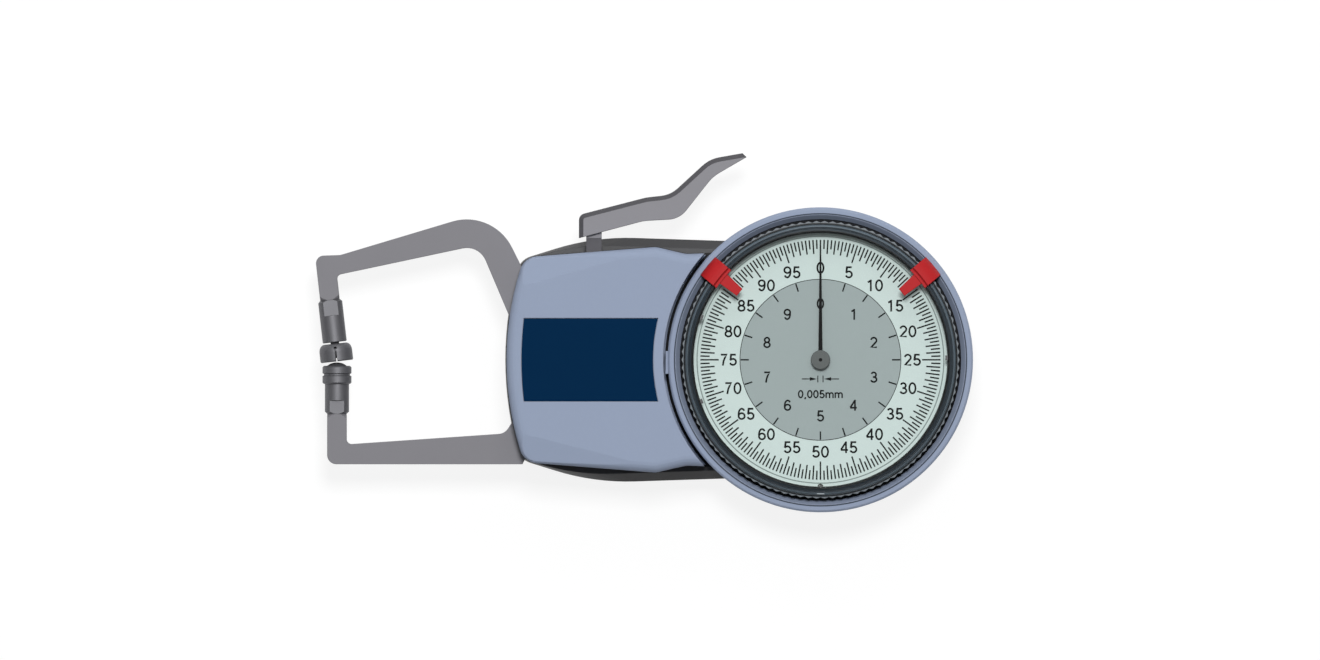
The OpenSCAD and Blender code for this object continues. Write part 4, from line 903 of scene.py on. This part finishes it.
# %% Numbers on the dial
outer_numbers = 20
divisions_apart = 5
outer_numbers_r = 19.0 * mm
outer_numbers_h = 2.4 * mm
outer_stroke = 0.38 * mm
inner_numbers = 10
inner_numbers_r = 11.6 * mm
inner_numbers_h = 2.25 * mm
inner_stroke = 0.36 * mm
reading_y = -7.1 * mm
reading_h = 1.62 * mm
reading_stroke = 0.3 * mm


def on_dial(turns, radius):
    return (radius * math.sin(math.tau * turns), radius * math.cos(math.tau * turns))


numbers = bmesh.new()
for k in range(outer_numbers):
    centre = on_dial(k / outer_numbers, outer_numbers_r)
    print_text(numbers, str(divisions_apart * k), centre, outer_numbers_h, outer_stroke)
for k in range(inner_numbers):
    centre = on_dial(k / inner_numbers, inner_numbers_r)
    print_text(numbers, str(k), centre, inner_numbers_h, inner_stroke, field_level)
print_text(numbers, "0,005mm", (0, reading_y), reading_h, reading_stroke, field_level)
bmesh.ops.recalc_face_normals(numbers, faces=numbers.faces)
dial_numbers = piece_from(numbers, "dial_numbers", ink, "bezel_group")
print("number faces:", len(dial_numbers.data.polygons))

# %% [markdown]
# ## Small marks
# Between the hub and the reading stands the usual sign for one division: two arrows that point at two
# ticks. The hub has a thin cap with a black centre, and the bezel has a pale index dash at the bottom
# and three small dark stops at its inner edge. All are thin plates, so the helper above makes them. A
# shader could paint them, but then they would blur in a close view.

# %% Sign for one division
sign_y = -3.96 * mm
line_half = 0.1 * mm
sign_tick_x = 0.54 * mm
sign_tick_half = 0.7 * mm
arrow_tip = 0.7 * mm
arrow_back = 2.2 * mm
arrow_half = 0.38 * mm
shaft_start = 1.9 * mm
shaft_end = 3.85 * mm

sign = bmesh.new()
for side in (-1, 1):
    tick_x = side * sign_tick_x
    near, far = sorted((side * shaft_start, side * shaft_end))
    head = [(side * arrow_tip, sign_y), (side * arrow_back, sign_y - arrow_half),
            (side * arrow_back, sign_y + arrow_half)]
    for outline in (
        bar(tick_x - line_half, sign_y - sign_tick_half, tick_x + line_half, sign_y + sign_tick_half),
        bar(near, sign_y - line_half, far, sign_y + line_half),
        head[::side],
    ):
        add_plate(sign, outline, field_level, field_level + print_t)
division_sign = piece_from(sign, "division_sign", ink, "bezel_group")
print("sign faces:", len(division_sign.data.polygons))

# %% Hub centre
hub_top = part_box("hand_hub")[1].z
hub_cap_r = 1.3 * mm
hub_cap_sides = 48
hub_dot_r = 0.37 * mm

hub_cap = bmesh.new()
add_plate(hub_cap, disc(hub_cap_r, hub_cap_sides), hub_top, hub_top + print_t)
piece_from(hub_cap, "hub_cap", finishes["hub_grey"], "centre")
hub_dot = bmesh.new()
add_plate(hub_dot, disc(hub_dot_r), hub_top + print_t, hub_top + 2 * print_t)
piece_from(hub_dot, "hub_centre", finishes["hand_black"], "centre")
print("hub ends at", round(hub_top / mm, 2), "mm")

# %% Index dash on the bezel
bezel_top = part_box("bezel")[1].z
dash_half = 0.75 * mm
dash_outer_y = -27.75 * mm
dash_inner_y = -27.5 * mm
dash_low = bezel_top - 0.9 * mm
dash_high = bezel_top - 0.6 * mm

dash_ink = finish("index_dash", from_screen(170, 180, 186), roughness=0.5, edge=0)
dash = bmesh.new()
add_plate(dash, bar(-dash_half, dash_outer_y, dash_half, dash_inner_y), dash_low, dash_high)
piece_from(dash, "index_dash", dash_ink, "bezel_group")
print("dash", round(2 * dash_half / mm, 1), "mm wide")

# %% Stops at the crystal
crystal_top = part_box("crystal")[1].z
stop_degrees = (0.9, 160.3, 199.2)
stop_inner = 25.75 * mm
stop_outer = 26.5 * mm
stop_half = 0.5 * mm
stop_h = 0.4 * mm

stops = bmesh.new()
for degrees in stop_degrees:
    turn = Matrix.Rotation(math.radians(degrees), 2)
    outline = [turn @ Vector(corner) for corner in bar(stop_inner, -stop_half, stop_outer, stop_half)]
    add_plate(stops, outline, crystal_top, crystal_top + stop_h)
piece_from(stops, "crystal_stops", finishes["bezel_black"], "bezel_group")
print("stops at the crystal:", len(stop_degrees))

# %% Finish
bpy.context.scene.view_settings.view_transform = "Standard"
